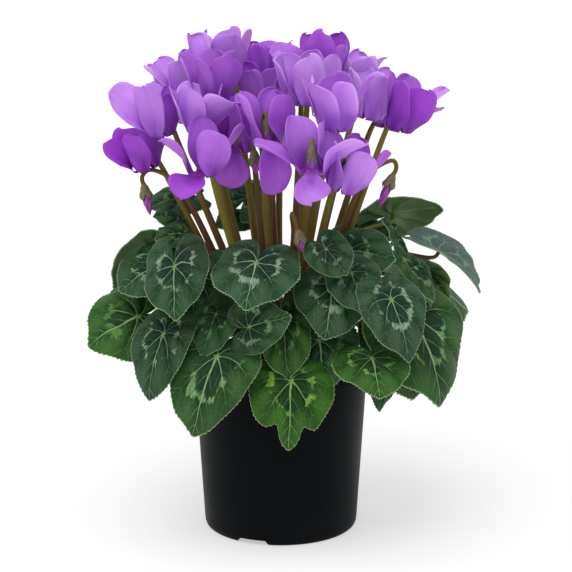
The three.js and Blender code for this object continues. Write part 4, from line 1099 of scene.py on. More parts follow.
def leaf_upper(settings):
    """Green blade, darker in its heart, with marbling, pale veins and a pale rim, painted shade beside the
    veins and painted light on the swellings between them.
    """
    made, tree, shader = material("leaf_upper")
    blade = shape_place(tree)
    share, tone, seed = value_of(tree, "share"), value_of(tree, "tone"), value_of(tree, "seed")
    veins = use(tree, vein_group(), Blade=blade, Width=0.016, Seed=seed)
    shifted = offset(tree, blade, seed)
    grain = use(tree, grain_group(), Vector=shifted, Broad=3.5, Fine=42.0)
    dark = blend(tree, tone, settings.cool_dark, settings.warm_dark)
    light = blend(tree, tone, settings.cool_light, settings.warm_light)
    drift = times_plus(tree, grain["Broad"], 0.7, -0.35)
    zone = plus(tree, ramp(tree, share, 0.35, 0.85), drift)
    base = blend(tree, clamped(tree, zone), dark, light)
    base = blend(tree, times(tree, grain["Fine"], 0.22), base, light)
    patch = marbling(tree, veins, grain, shifted, share, seed)
    pale = blend(tree, tone, settings.cool_marks, settings.warm_marks)
    # Painted shade: darker where the blade dips beside its veins.
    base = blend(tree, times(tree, veins["ShadeBeside"], 0.3), base, dark)
    # Painted light: paler on the swellings between the veins.
    swell = times(tree, times(tree, veins["Between"], zone, clamp=True), 0.14)
    base = blend(tree, swell, base, pale)
    base = blend(tree, patch, base, pale)
    # Painted reflection: a silvery sheen laid over the blade's colour where the row asks for it.
    base = blend(tree, value_of(tree, "painted_sheen"), base, settings.painted_sheen)
    rib = blend(tree, tone, settings.cool_veins, settings.warm_veins)
    lines = calc(tree, "MAXIMUM", veins["Main"], times(tree, veins["Side"], 0.7))
    base = blend(tree, times(tree, lines, 0.75), base, rib)
    base = blend(tree, times(tree, veins["Net"], 0.3), base, dark)
    heart = ramp(tree, veins["Reach"], 0.02, 0.06, 1.0, 0.0)
    base = blend(tree, times(tree, heart, 0.6), base, settings.junction)
    edge = ramp(tree, share, 0.98, 0.997)
    base = blend(tree, times(tree, edge, 0.7), base, rib)
    rough = times_plus(tree, grain["Fine"], 0.12, 0.4)
    rough = times_plus(tree, veins["Main"], 0.1, rough)
    height = times_plus(tree, lines, -0.7, times(tree, veins["Net"], -0.4))
    height = times_plus(tree, grain["Fine"], 0.35, height)
    finish_surface(tree, shader, base, rough, height, 0.6, 0.0009, 0.16)
    return made


def leaf_under(settings):
    """Dull green underside with raised veins."""
    made, tree, shader = material("leaf_under")
    blade = shape_place(tree)
    seed, share = value_of(tree, "seed"), value_of(tree, "share")
    veins = use(tree, vein_group(), Blade=blade, Width=0.018, Seed=seed)
    grain = use(tree, grain_group(), Vector=blade, Broad=3.0, Fine=50.0)
    base = blend(tree, grain["Broad"], settings.under_pale, settings.under_deep)
    base = blend(tree, times(tree, grain["Fine"], 0.15), base, settings.warm_light)
    lines = calc(tree, "MAXIMUM", veins["Main"], times(tree, veins["Side"], 0.4))
    base = blend(tree, times(tree, lines, 0.5), base, settings.under_veins)
    edge = ramp(tree, share, 0.975, 0.995)
    base = blend(tree, times(tree, edge, 0.6), base, settings.cool_veins)
    height = times_plus(tree, lines, 1.0, times(tree, veins["Net"], 0.25))
    finish_surface(tree, shader, base, 0.55, height, 0.4, 0.0006, 0.25)
    return made


def petal_material(name, settings, painted_shade):
    """Violet petal skin with fine streaks that fan from the throat; the back's copy is deeper all over, a
    painted shade.
    """
    made, tree, shader = material(name)
    place = shape_place(tree)
    age, seed = value_of(tree, "age"), value_of(tree, "seed")
    parts = node(tree, "SeparateXYZ", {0: place}).outputs
    across = calc(tree, "ABSOLUTE", times_plus(tree, parts[0], 2.0, -1.0))
    along = parts[1]
    drawn = offset(tree, stretched(tree, place, (26.0, 1.6, 1.0)), seed)
    streaks = use(tree, grain_group(), Vector=drawn, Broad=0.4, Fine=1.6)
    # Age, given per petal, also carries painted light and shade: lighter petals where light falls, deeper
    # ones in shade.
    light = blend(tree, age, settings.young_light, settings.full_light)
    deep = blend(tree, age, settings.young_deep, settings.full_deep)
    inward = ramp(tree, across, 0.0, 0.9, 1.0, 0.6)
    share = times(tree, ramp(tree, along, 0.15, 0.8, 0.95, 0.12), inward)
    share = times_plus(tree, streaks["Fine"], 0.12, plus(tree, share, painted_shade))
    drift = noise_of(tree, offset(tree, place, seed), 2.2, 2.0)
    share = times_plus(tree, drift, 0.7, minus(tree, share, 0.35))
    share = times_plus(tree, streaks["Broad"], 0.08, share, clamp=True)
    base = blend(tree, share, light, deep)
    throat = ramp(tree, along, 0.1, 0.26, 1.0, 0.0)
    base = blend(tree, times(tree, throat, 0.7), base, settings.throat)
    edge = ramp(tree, across, 0.9, 1.0)
    base = blend(tree, times(tree, edge, 0.12), base, light)
    rough = times_plus(tree, streaks["Fine"], 0.1, 0.48)
    finish_surface(tree, shader, base, rough, streaks["Fine"], 0.08, 0.0004, 0.25)
    shader.inputs["Subsurface Weight"].default_value = 0.25
    shader.inputs["Subsurface Radius"].default_value = (1.0, 0.35, 0.9)
    shader.inputs["Subsurface Scale"].default_value = 0.002
    return made


def stalk_material(name, low, high, spots):
    """Stalk skin: one colour by the crown, another higher up, with fine lengthwise fibres."""
    made, tree, shader = material(name)
    place = object_place(tree)
    parts = node(tree, "SeparateXYZ", {0: place}).outputs
    fibres = stretched(tree, place, (1.0, 1.0, 0.12))
    grain = use(tree, grain_group(), Vector=fibres, Broad=60.0, Fine=1400.0)
    height = ramp(tree, parts[2], 0.15, 0.27, 0.0, 0.6)
    height = times_plus(tree, value_of(tree, "tint"), 0.9, minus(tree, height, 0.25))
    height = times_plus(tree, grain["Broad"], 0.4, minus(tree, height, 0.2), clamp=True)
    base = blend(tree, height, low, high)
    base = blend(tree, times(tree, grain["Fine"], 0.3), base, spots)
    rough = times_plus(tree, grain["Fine"], 0.15, 0.45)
    finish_surface(tree, shader, base, rough, grain["Fine"], 0.25, 0.0004, 0.2)
    return made


# Settings
def tint(name, description, code):
    return bpy.props.FloatVectorProperty(
        name=name, description=description, default=colour(code), size=3, min=0.0, max=1.0, subtype="COLOR"
    )


def number(name, description, default, **limits):
    return bpy.props.FloatProperty(name=name, description=description, default=default, **limits)


def whole(name, description, default, **limits):
    return bpy.props.IntProperty(name=name, description=description, default=default, **limits)


def share_of(name, description, default):
    return number(name, description, default, min=0.0, max=1.0)


def length(name, description, default):
    return number(name, description, default, min=0.0, unit="LENGTH", subtype="DISTANCE")


class CyclamenPotSettings(bpy.types.PropertyGroup):
    wall: length("Wall", "Thickness of the pot's wall", WALL * MM)
    body: tint("Plastic", "Colour of the pot", "06090C")
    worn: tint("Scuffed plastic", "Colour of the pot where it is rubbed or dusty", "14181C")


class CyclamenSoilSettings(bpy.types.PropertyGroup):
    roughness: length("Roughness", "How far the soil's surface rises and falls", 0.0016)
    crumb: length("Crumb", "Size of the largest crumbs", 0.0042)
    crumbs: whole("Crumbs", "How many crumbs lie on the soil", 420, min=0)
    dark: tint("Dark peat", "Colour of the damp peat", "1E1510")
    light: tint("Dry fibre", "Colour of the dry fibres and bark", "5A4230")


class CyclamenStalkSettings(bpy.types.PropertyGroup):
    sides: whole("Sides", "Sides of each stalk", 12, min=6, max=32)
    girth: number("Girth", "Thickness of the flower stems beside that of the solids", 1.12, min=0.5, max=1.5)
    stem_low: tint("Brown stem", "Colour of the browner flower stems", "5E4022")
    stem_high: tint("Olive stem", "Colour of the greener flower stems", "7A7222")
    stem_skin: tint("Stem skin", "Colour of the fine fibres on the stems", "4C3422")
    leaf_low: tint("Leaf stalk foot", "Colour of the leaf stalks by the crown", "5C4630")
    leaf_high: tint("Leaf stalk top", "Colour of the leaf stalks under the blades", "6F7C3C")
    calyx: tint("Calyx", "Colour of the calyxes", "4E4530")
    calyx_pale: tint("Calyx stripes", "Colour of the pale stripes on the calyxes", "9A8F6A")
    tuber: tint("Tuber", "Colour of the corky tuber", "4A3524")


class CyclamenLeafSettings(bpy.types.PropertyGroup):
    thickness: length("Thickness", "Thickness of the blades", 0.0006)
    tooth_depth: length("Tooth depth", "Depth of the fine teeth on the rim", 0.0008)
    quilting: length("Quilting", "How far the blade swells between its veins", 0.0019)
    waviness: share_of("Waviness", "How far the rim waves, as a share of the blade's length", 0.03)
    curl: share_of("Curl", "How far the rim curls down, as a share of the blade's length", 0.03)
    cool_dark: tint("Cool heart", "Middle of a cool leaf", "0D2C1F")
    warm_dark: tint("Warm heart", "Middle of a warm leaf", "0C3008")
    cool_light: tint("Cool rim", "Outer part of a cool leaf", "1A3C20")
    warm_light: tint("Warm rim", "Outer part of a warm leaf", "24540C")
    cool_marks: tint("Cool marbling", "Marbling of a cool leaf", "84A088")
    warm_marks: tint("Warm marbling", "Marbling of a warm leaf", "76AC3A")
    cool_veins: tint("Cool veins", "Veins of a cool leaf", "A4C09C")
    warm_veins: tint("Warm veins", "Veins of a warm leaf", "A4C480")
    # A painted reflection: the silvery sheen of a glossy blade, laid into its colour.
    painted_sheen: tint("Painted sheen", "Silvery sheen of the palest leaves", "78908A")
    junction: tint("Junction", "Where the stalk meets the blade", "6E9A34")
    under_pale: tint("Pale underside", "Lighter parts of the underside", "70885F")
    under_deep: tint("Deep underside", "Deeper parts of the underside", "4B6A38")
    under_veins: tint("Underside veins", "Veins on the underside", "92A67C")


class CyclamenBloomSettings(bpy.types.PropertyGroup):
    thickness: length("Thickness", "Thickness of the petals", 0.00035)
    ripple: length("Ripple", "How far the petals' edges wave", 0.0016)
    young_light: tint("Young light", "Lighter parts of a just opened bloom", "A44CD0")
    young_deep: tint("Young deep", "Deeper parts of a just opened bloom", "64188C")
    full_light: tint("Full light", "Lighter parts of a full bloom", "D8A8F8")
    full_deep: tint("Full deep", "Deeper parts of a full bloom", "9C54D2")
    throat: tint("Throat", "Colour where the petals leave the tube", "6A1878")
    bud_pale: tint("Bud", "Lighter colour of a closed bud", "B04CB8")
    bud_fold_shade: tint("Bud folds", "Deeper colour in a bud's folds", "6E1A7C")
    pistil: tint("Pistil", "Colour of the pistil and stamens", "B08A50")


class CyclamenStageSettings(bpy.types.PropertyGroup):
    floor: tint("Floor", "Colour of the floor", "B4B4B4")
    glow: number("Glow", "How brightly the floor shines by itself", 1.1, min=0.0)
    reach: length("Reach", "Half the floor's width", 60.0)
    lens: number("Lens", "Focal length", 140.3, min=1.0, subtype="DISTANCE_CAMERA")
    key: number("Key light", "Strength of the key light", 1.7, min=0.0)
    softness: number("Softness", "Spread of the key light", math.radians(50), min=0.0, subtype="ANGLE")
    sky: number("Surroundings", "Brightness overhead", 0.75, min=0.0)
    horizon: number("Horizon", "Brightness of the backdrop", 1.0, min=0.0)


# Pot
# Corners round the pot and round one drain hole.
POT_SIDES = 144
HOLE_SIDES = 32


def wall_at(z):
    """The wall's outer radius at a height."""
    return FOOT_RADIUS + (WALL_TOP_RADIUS - FOOT_RADIUS) * z / LIP_UNDER


def lathe(name, outline, sides):
    """A turned piece from an outline of radius and height, in millimetres, closed on the axis."""
    mesh = bpy.data.meshes.new(name)
    shape = bmesh.new()
    rings = []
    for radius, z in outline:
        far = radius * MM
        turns = turns_of(sides) if radius else [0]
        rings.append([shape.verts.new((far * math.cos(a), far * math.sin(a), z * MM)) for a in turns])
    for low, high in zip(rings[:-1], rings[1:]):
        for k in range(sides):
            n = (k + 1) % sides
            corners = [low[k % len(low)], low[n % len(low)], high[n % len(high)], high[k % len(high)]]
            corners = [c for i, c in enumerate(corners) if c not in corners[:i]]
            if len(corners) > 2:
                shape.faces.new(corners)
    bmesh.ops.recalc_face_normals(shape, faces=shape.faces)
    shape.to_mesh(mesh)
    shape.free()
    return mesh


def block(name, corners, low, high):
    """A prism over a flat outline, from one height to another along its own Y, in millimetres."""
    mesh = bpy.data.meshes.new(name)
    count = len(corners)
    points = [(x * MM, y * MM, z * MM) for x in (low, high) for y, z in corners]
    faces = [tuple(range(count)), tuple(range(2 * count - 1, count - 1, -1))]
    faces += [(k, count + k, count + (k + 1) % count, (k + 1) % count) for k in range(count)]
    mesh.from_pydata(points, [], faces)
    shape = bmesh.new()
    shape.from_mesh(mesh)
    bmesh.ops.recalc_face_normals(shape, faces=shape.faces)
    shape.to_mesh(mesh)
    shape.free()
    return mesh


def cut(target, mesh, operation, turn=0.0):
    """Adds or takes away a solid, turned about the pot's axis, and keeps the result."""
    tool = bpy.data.objects.new("tool", mesh)
    bpy.context.scene.collection.objects.link(tool)
    tool.rotation_euler.z = turn
    modifier = target.modifiers.new("cut", "BOOLEAN")
    modifier.object = tool
    modifier.operation = operation
    modifier.solver = "EXACT"
    bpy.context.view_layer.update()
    graph = bpy.context.evaluated_depsgraph_get()
    made = bpy.data.meshes.new_from_object(target.evaluated_get(graph))
    target.modifiers.clear()
    target.data = made
    bpy.data.objects.remove(tool)


def pot_outline(wall):
    """The pot from the middle of its foot, up and over the rolled lip and down inside to its floor."""
    top, under = POT_HEIGHT, LIP_UNDER
    lining = RIM_RADIUS - wall
    return [
        (0, 0), (FOOT_RADIUS - 3, 0), (FOOT_RADIUS - 1.6, 0.3), (FOOT_RADIUS - 0.6, 1.2),
        (wall_at(3) - 0.1, 3), (wall_at(6), 6), (wall_at(35), 35), (wall_at(70), 70),
        (WALL_TOP_RADIUS - 0.1, under - 0.6), (WALL_TOP_RADIUS + 0.4, under - 0.05),
        (RIM_RADIUS - 1.0, under + 0.15), (RIM_RADIUS - 0.35, under + 0.6),
        (RIM_RADIUS - 0.1, under + 1.4), (RIM_RADIUS, top - 1.6), (RIM_RADIUS - 0.2, top - 0.6),
        (RIM_RADIUS - 0.8, top), (lining - 0.5, top), (lining - 1.1, top - 0.5), (lining - 1.3, top - 1.4),
        (lining - 1.6, under + 1.5), (WALL_TOP_RADIUS - wall, under - 1.5), (wall_at(FLOOR) - wall, FLOOR),
        (0, FLOOR),
    ]


def foot_pad():
    """The lining round a notch, rounded inside the wall."""
    half = NOTCHES["width"] / 2 + FLOOR
    radius = FOOT_RADIUS - PAD_INSET
    spread = math.asin(half / radius)
    arc = [(radius * math.sin(a), -radius * math.cos(a)) for a in np.linspace(-spread, spread, 13)]
    inner = FOOT_RADIUS - NOTCHES["depth"] - FLOOR
    corners = [*arc, (half, -inner), (-half, -inner)]
    pad = block("pad", corners, PAD_FOOT, NOTCHES["height"] + FLOOR)
    pad.transform(Matrix.Rotation(math.radians(-90), 4, "Y"))
    return pad


def foot_notch():
    """What a notch takes out of the foot."""
    wide, high, top = NOTCHES["width"] / 2, NOTCHES["height"], NOTCHES["top"] / 2
    corners = [(-wide, -1), (wide, -1), (top, high), (-top, high)]
    return block("notch", corners, FOOT_RADIUS - NOTCHES["depth"], FOOT_RADIUS + 6)


def drain_hole():
    """What a drain hole takes out of the floor, near its edge."""
    hole = lathe("hole", [(0, -2), (DRAIN_RADIUS, -2), (DRAIN_RADIUS, 10), (0, 10)], HOLE_SIDES)
    hole.transform(Matrix.Translation(((FOOT_RADIUS - DRAIN_FROM_EDGE) * MM, 0, 0)))
    return hole


def pot_plastic(settings):
    """Black plastic, dusty near its foot and scuffed here and there."""
    made, tree, shader = material("pot_plastic")
    place = object_place(tree)
    grain = use(tree, grain_group(), Vector=place, Broad=24.0, Fine=700.0)
    height = node(tree, "SeparateXYZ", {0: place}).outputs[2]
    dusty = times(tree, ramp(tree, height, 0.0, 0.03, 1.0, 0.0), grain["Broad"])
    scuffed = ramp(tree, noise_of(tree, place, 90.0, 6.0, 0.7), 0.58, 0.75, 0.0, 0.35)
    base = blend(tree, times_plus(tree, dusty, 0.3, scuffed), settings.body, settings.worn)
    rough = times_plus(tree, grain["Broad"], 0.08, 0.38)
    rough = times_plus(tree, grain["Fine"], 0.08, rough)
    finish_surface(tree, shader, base, rough, grain["Fine"], 0.08, 0.0002, 0.05)
    return made


class CYCLAMEN_OT_pot(bpy.types.Operator):
    """Builds the black pot with its rolled lip, foot notches and drain holes"""

    bl_idname = "cyclamen.pot"
    bl_label = "Pot"

    def execute(self, context):
        settings = context.scene.cyclamen_pot
        shell = lathe("pot_shell", pot_outline(settings.wall / MM), POT_SIDES)
        pot = bpy.data.objects.new("pot_shell", shell)
        context.scene.collection.objects.link(pot)
        pad = foot_pad()
        for i in range(NOTCHES["count"]):
            turn = math.radians(NOTCHES["bearing"] + 360 * i / NOTCHES["count"])
            cut(pot, pad, "UNION", turn)
            cut(pot, foot_notch(), "DIFFERENCE", turn)
            cut(pot, drain_hole(), "DIFFERENCE", turn)
        pot.data.polygons.foreach_set("use_smooth", [True] * len(pot.data.polygons))
        pot.data.set_sharp_from_angle(angle=math.radians(35))
        pot.data.materials.clear()
        pot.data.materials.append(pot_plastic(settings))
        dress(pot, "pot", "pot")
        return {"FINISHED"}


# Soil
SOIL_SEED = 5
SOIL_ROWS = 34
SOIL_SIDES = 120


def soil_height(x, y, rise):
    """How high the soil lies at a place, when its lumps rise this far."""
    level = SOIL_TOP + 0.9 * math.sin(0.31 * x + 1.7) * math.cos(0.27 * y)
    broad = noise.noise(Vector((x / 9, y / 9, 2.0)))
    fine = noise.noise(Vector((x / 2.4, y / 2.4, 7.0)))
    return level + rise * (0.7 * broad + 0.5 * fine)


def add_soil(build, outer, rise):
    """The body of the soil: a lumpy top, a smooth side and a flat foot."""
    points = [(0, 0, soil_height(0, 0, rise))]
    turns = turns_of(SOIL_SIDES)
    for i in range(1, SOIL_ROWS + 1):
        radius = outer * i / SOIL_ROWS
        spots = [(radius * math.cos(turn), radius * math.sin(turn)) for turn in turns]
        points.extend((x, y, soil_height(x, y, rise)) for x, y in spots)
    low = wall_at(SOIL_FOOT) - WALL - SOIL_GAP
    points.extend((low * math.cos(turn), low * math.sin(turn), SOIL_FOOT) for turn in turns)
    points.append((0, 0, SOIL_FOOT))
    index = closed(1 + np.arange((SOIL_ROWS + 1) * SOIL_SIDES).reshape(-1, SOIL_SIDES))
    faces = [(0, a, b) for a, b in zip(index[0], index[0, 1:])]
    faces += grid_faces(index.T)
    faces += [(b, a, len(points) - 1) for a, b in zip(index[-1], index[-1, 1:])]
    build.add(points, faces, tint=0.3)


def add_crumb(build, outer, rise, largest, rng):
    """One crumb of peat or bark, somewhere on the soil."""
    far = outer * math.sqrt(rng.uniform(0.12, 0.97))
    turn = rng.uniform(0, 2 * math.pi)
    x, y = far * math.cos(turn), far * math.sin(turn)
    size = largest * rng.uniform(0.18, 0.5)
    stretch = vec((rng.uniform(0.7, 1.9), rng.uniform(0.6, 1.1), rng.uniform(0.4, 0.8)))
    spin = rng.uniform(0, math.pi)
    shape = bmesh.new()
    bmesh.ops.create_icosphere(shape, subdivisions=1, radius=1)
    corners = np.array([v.co for v in shape.verts]) * stretch * size
    faces = [[v.index for v in face.verts] for face in shape.faces]
    shape.free()
    corners *= 1 + 0.25 * np.array([[rng.uniform(-1, 1)] for _ in corners])
    corners = corners @ vec([
        (math.cos(spin), math.sin(spin), 0),
        (-math.sin(spin), math.cos(spin), 0),
        (0, 0, 1),
    ])
    build.add(corners + vec((x, y, soil_height(x, y, rise) + 0.2 * size)), faces, tint=rng.random())


def peat(settings):
    """Damp peat with paler crumbs and fibres."""
    made, tree, shader = material("peat")
    grain = use(tree, grain_group(), Vector=object_place(tree), Broad=120.0, Fine=900.0)
    share = minus(tree, times(tree, value_of(tree, "tint"), 0.55), 0.15)
    share = times_plus(tree, grain["Fine"], 0.5, share, clamp=True)
    base = blend(tree, share, settings.dark, settings.light)
    finish_surface(tree, shader, base, 0.92, grain["Fine"], 0.6, 0.0008)
    return made


class CYCLAMEN_OT_soil(bpy.types.Operator):
    """Builds the potting soil with its crumbs and fibres"""

    bl_idname = "cyclamen.soil"
    bl_label = "Soil"

    def execute(self, context):
        settings = context.scene.cyclamen_soil
        rng = random.Random(SOIL_SEED)
        outer = wall_at(SOIL_TOP) - WALL - SOIL_GAP
        rise = settings.roughness / MM
        build = Build()
        add_soil(build, outer, rise)
        for _ in range(settings.crumbs):
            add_crumb(build, outer, rise, settings.crumb / MM, rng)
        dress(build.make("potting_soil", [peat(settings)], 40), "soil", "soil")
        return {"FINISHED"}


# Stalk pieces
STALK_SEED = 11
PETIOLE_ROWS = 26
TUBER_ROWS = 24
TUBER_SIDES = 64
# A fine stem ends thin inside its calyx, which is a piece of its own.
FINE_STEM_RADII = STEM_RADII[:-2] + [1.3, 1.2]


def calyx_skin(settings):
    """Brown calyx with pale stripes down its sepals."""
    made, tree, shader = material("calyx_skin")
    drawn = stretched(tree, shape_place(tree), (9.0, 1.2, 1.0))
    grain = use(tree, grain_group(), Vector=drawn, Broad=1.0, Fine=3.0)
    base = blend(tree, times(tree, grain["Broad"], 0.6), settings.calyx, settings.calyx_pale)
    base = blend(tree, times(tree, grain["Fine"], 0.3), base, settings.stem_skin)
    finish_surface(tree, shader, base, 0.55, grain["Fine"], 0.3, 0.0003)
    return made


def tuber_cork(settings):
    """Brown corky skin."""
    made, tree, shader = material("tuber_cork")
    grain = use(tree, grain_group(), Vector=object_place(tree), Broad=150.0, Fine=700.0)
    base = blend(tree, grain["Broad"], settings.tuber, settings.stem_low)
    base = blend(tree, times(tree, grain["Fine"], 0.4), base, settings.stem_skin)
    finish_surface(tree, shader, base, 0.85, grain["Fine"], 0.7, 0.0008)
    return made


def add_tuber(build):
    """The flat round tuber, a little uneven and just inside its solid."""
    rings = []
    for i in range(1, TUBER_ROWS):
        tilt = math.pi * (i / TUBER_ROWS - 0.5)
        radius = TUBER["radius"] * math.cos(tilt)
        z = TUBER["half_height"] * math.sin(tilt) + TUBER["middle"]
        ring = []
        for turn in turns_of(TUBER_SIDES):
            x, y = radius * math.cos(turn), radius * math.sin(turn)
            swell = 0.97 + 0.035 * noise.noise(Vector((x / 6, y / 6, z / 4)))
            ring.append((x * swell, y * swell, z - 0.2))
        rings.append(ring)
    build.tube(np.array(rings), tint=0.5)


class CYCLAMEN_OT_stalks(bpy.types.Operator):
    """Builds the tuber, the flower stems with their calyxes and the leaf stalks"""

    bl_idname = "cyclamen.stalks"
    bl_label = "Stalks"

    def execute(self, context):
        settings = context.scene.cyclamen_stalks
        spots = placements()
        stems, petioles, calyxes, tuber = Build(), Build(), Build(), Build()
        rng = random.Random(STALK_SEED)
        for row, corners in spots["stems"]:
            points, widths = smooth_path(corners, FINE_STEM_RADII)
            stems.tube(stalk_rings(points, widths * settings.girth, settings.sides), tint=rng.random())
            if "mouth" in row:
                up, top, outward = bloom_axes(row, spots["blooms"][row["name"]])
                calyx(calyxes, top, up, outward, row.get("spin", 0) + PETAL_STEP / 2, 7.0)
            else:
                hang, neck = bud_axes(row)
                calyx(calyxes, neck, -hang, around(-hang), PETAL_STEP / 2, 5.8, 0.9)
        for row, (*handles, point) in spots["petioles"]:
            run = bezier(*handles, np.linspace(0, 1, PETIOLE_ROWS))
            run = np.concatenate([run, [point, point + (point - handles[3]) * 0.3]])
            radii = np.concatenate([np.linspace(*PETIOLE_RADII, PETIOLE_ROWS), [1.35, 1.5]])
            petioles.tube(stalk_rings(run, radii, settings.sides), tint=rng.random())
        add_tuber(tuber)
        stem = stalk_material("stem_skin", settings.stem_low, settings.stem_high, settings.stem_skin)
        stalk = stalk_material("leaf_stalk_skin", settings.leaf_low, settings.leaf_high, settings.stem_skin)
        for build, name, skin, sharp in [
            (stems, "flower_stems", stem, 60),
            (petioles, "leaf_stalks", stalk, 60),
            (calyxes, "calyxes", calyx_skin(settings), 50),
            (tuber, "tuber_skin", tuber_cork(settings), 50),
        ]:
            dress(build.make(name, [skin], sharp), "stalk", "stalks")
        return {"FINISHED"}


# Leaf, bloom and bud pieces
LEAF_SEED = 40
BLOOM_SEED = 100


class CYCLAMEN_OT_leaves(bpy.types.Operator):
    """Builds every leaf blade with its toothed rim, veins and marbling"""

    bl_idname = "cyclamen.leaves"
    bl_label = "Leaves"

    def execute(self, context):
        settings = context.scene.cyclamen_leaves
        skins = [leaf_upper(settings), leaf_under(settings)]
        shifts = placements()["leaves"]
        faces = blade_faces()
        for i, row in enumerate(LEAVES):
            points, uv, shares = leaf_blade(row, shifts[row["name"]], settings, LEAF_SEED + i)
            looks = {"tone": row["tone"], "marks": row["marks"], "painted_sheen": row.get("painted_sheen", 0.0)}
            build = Build()
            build.add(points, faces, uv, share=shares, seed=3.7 * i, **looks)
            piece = thicken(build.make(row["name"] + "_blade", skins), settings.thickness, 1)
            dress(piece, "leaf", row.get("node", row["name"]))
        return {"FINISHED"}


TUBE_SIDES = 30
PISTIL_SIDES = 12


def pistil_skin(settings):
    """Ochre pistil with violet grain."""
    made, tree, shader = material("pistil_skin")
    grain = use(tree, grain_group(), Vector=object_place(tree), Broad=300.0, Fine=1500.0)
    base = blend(tree, times(tree, grain["Fine"], 0.5), settings.pistil, settings.throat)
    finish_surface(tree, shader, base, 0.6, grain["Fine"], 0.2, 0.0003)
    return made


def add_bloom(build, row, shift, settings, i):
    """One bloom's tube and petals, each with its own age and streaks; a petal's age also carries painted
    light and shade.
    """
    rng = random.Random(BLOOM_SEED + i)
    up, top, outward = bloom_axes(row, shift)
    # Per petal, the ages also hold painted light and shade, lighter where light falls and deeper where petals
    # lie in shade.
    ages_and_shades = np.broadcast_to(row["age"], PETALS)
    rings = revolve(top, up, outward, TUBE, TUBE_SIDES, 0.04, row.get("spin", 0))
    index = closed(np.arange(len(TUBE) * TUBE_SIDES).reshape(-1, TUBE_SIDES))
    uv = [(k / TUBE_SIDES, 0.16 - 0.03 * r) for r in range(len(TUBE)) for k in range(TUBE_SIDES)]
    build.add(rings.reshape(-1, 3), grid_faces(index[::-1]), uv, age=float(ages_and_shades.mean()), seed=2.3 * i)
    for k in range(PETALS):
        points, faces, uv = petal_sheet(row, shift, k, settings, rng)
        age = min(1, max(0, ages_and_shades[k] + rng.uniform(-0.2, 0.2)))
        build.add(points, faces, uv, age=age, seed=2.3 * i + 5.1 * k)


class CYCLAMEN_OT_blooms(bpy.types.Operator):
    """Builds every open bloom: its tube, its five swept petals and its pistil"""

    bl_idname = "cyclamen.blooms"
    bl_label = "Blooms"

    def execute(self, context):
        settings = context.scene.cyclamen_blooms
        # The back is a deeper copy of the face: painted shade on the side turned away.
        skins = [petal_material("petal_face", settings, 0.0), petal_material("petal_back_shaded", settings, 0.12)]
        ochre = pistil_skin(settings)
        shifts = placements()["blooms"]
        for i, row in enumerate(BLOOMS):
            shift = shifts[row["name"]]
            petals, pistil = Build(), Build()
            add_bloom(petals, row, shift, settings, i)
            piece = thicken(petals.make(row["name"] + "_petals", skins), settings.thickness, 1)
            dress(piece, "petal", row.get("node", row["name"]))
            up, top, outward = bloom_axes(row, shift)
            pistil.tube(revolve(top, up, outward, PISTIL, PISTIL_SIDES, 0.15, row.get("spin", 0)))
            dress(pistil.make(row["name"] + "_pistil", [ochre], 60), "petal")
        return {"FINISHED"}


# A closed bud: rows down its length, corners round it, and its radius at shares of its length.
BUD_ROWS = 26
BUD_SIDES = 30
BUD_SHARES = [0, 0.3, 0.7, 1]
BUD_RADII = [2.3, 2.7, 1.9, 0.35]


def bud_skin(settings):
    """Magenta bud, deeper in the folds between its rolled petals, a painted shade."""
    made, tree, shader = material("bud_skin")
    drawn = stretched(tree, shape_place(tree), (10.0, 1.5, 1.0))
    grain = use(tree, grain_group(), Vector=drawn, Broad=1.0, Fine=3.0)
    # Painted shade in the folds between the rolled petals, over a random deeper tone.
    folds = times_plus(tree, grain["Broad"], 0.6, times(tree, value_of(tree, "fold"), 0.5))
    base = blend(tree, clamped(tree, folds), settings.bud_pale, settings.bud_fold_shade)
    finish_surface(tree, shader, base, 0.5, grain["Fine"], 0.15, 0.0003)
    return made


def add_bud(build, row):
    """A closed bud, rolled from five petals and twisted to a point."""
    hang, neck = bud_axes(row)
    across = unit(np.cross(hang, vec((0, 1, 0))))
    third = np.cross(hang, across)
    turns = turns_of(BUD_SIDES)
    rings, folds = [], []
    for t in np.linspace(0, 1, BUD_ROWS):
        ridges = np.cos(PETALS * (turns - 1.6 * t))
        reach = smooth_between(BUD_SHARES, BUD_RADII, t)[0] * (1 + 0.1 * ridges * min(1, 2 * t))
        rings.append(neck + hang * row["long"] * t + spokes_of(turns, across, third) * reach[:, None])
        folds.extend(0.5 - 0.5 * ridges)
    build.tube(np.array(rings), fold=vec(folds))


class CYCLAMEN_OT_buds(bpy.types.Operator):
    """Builds the closed buds, rolled and twisted to a point"""

    bl_idname = "cyclamen.buds"
    bl_label = "Buds"

    def execute(self, context):
        skin = bud_skin(context.scene.cyclamen_blooms)
        for row in BUDS:
            build = Build()
            add_bud(build, row)
            dress(build.make(row["name"] + "_petals", [skin], 60), "bud", row["name"])
        return {"FINISHED"}


# Stage: the way of the sun's light, and the camera's place and aim, in metres
SUN_WAY = (0.25, 0.5, -1.2)
CAMERA_PLACE = (0.0034, -1.4, 0.5)
CAMERA_AIM = (0.0034, 0.0, 0.16)
SENSOR_WIDTH = 36
# Between these heights, as sines of the elevation, the backdrop passes into the surroundings overhead.
HORIZON_TOP = 0.06
SKY_FOOT = 0.3


def looking(way):
    """The turn that makes a light or a camera look this way."""
    return Vector(way).to_track_quat("-Z", "Y").to_euler()


def pale_floor(settings):
    """An even, pale floor that shines a little, so that shadows on it stay faint."""
    made, tree, shader = material("pale_floor")
    drift = noise_of(tree, object_place(tree), 3.0, 2.0)
    shade = [0.97 * c for c in settings.floor]
    base = blend(tree, times(tree, drift, 0.3), settings.floor, shade)
    finish_surface(tree, shader, base, 0.8)
    shader.inputs["Emission Strength"].default_value = settings.glow
    feed(tree, shader.inputs["Emission Color"], base)
    return made


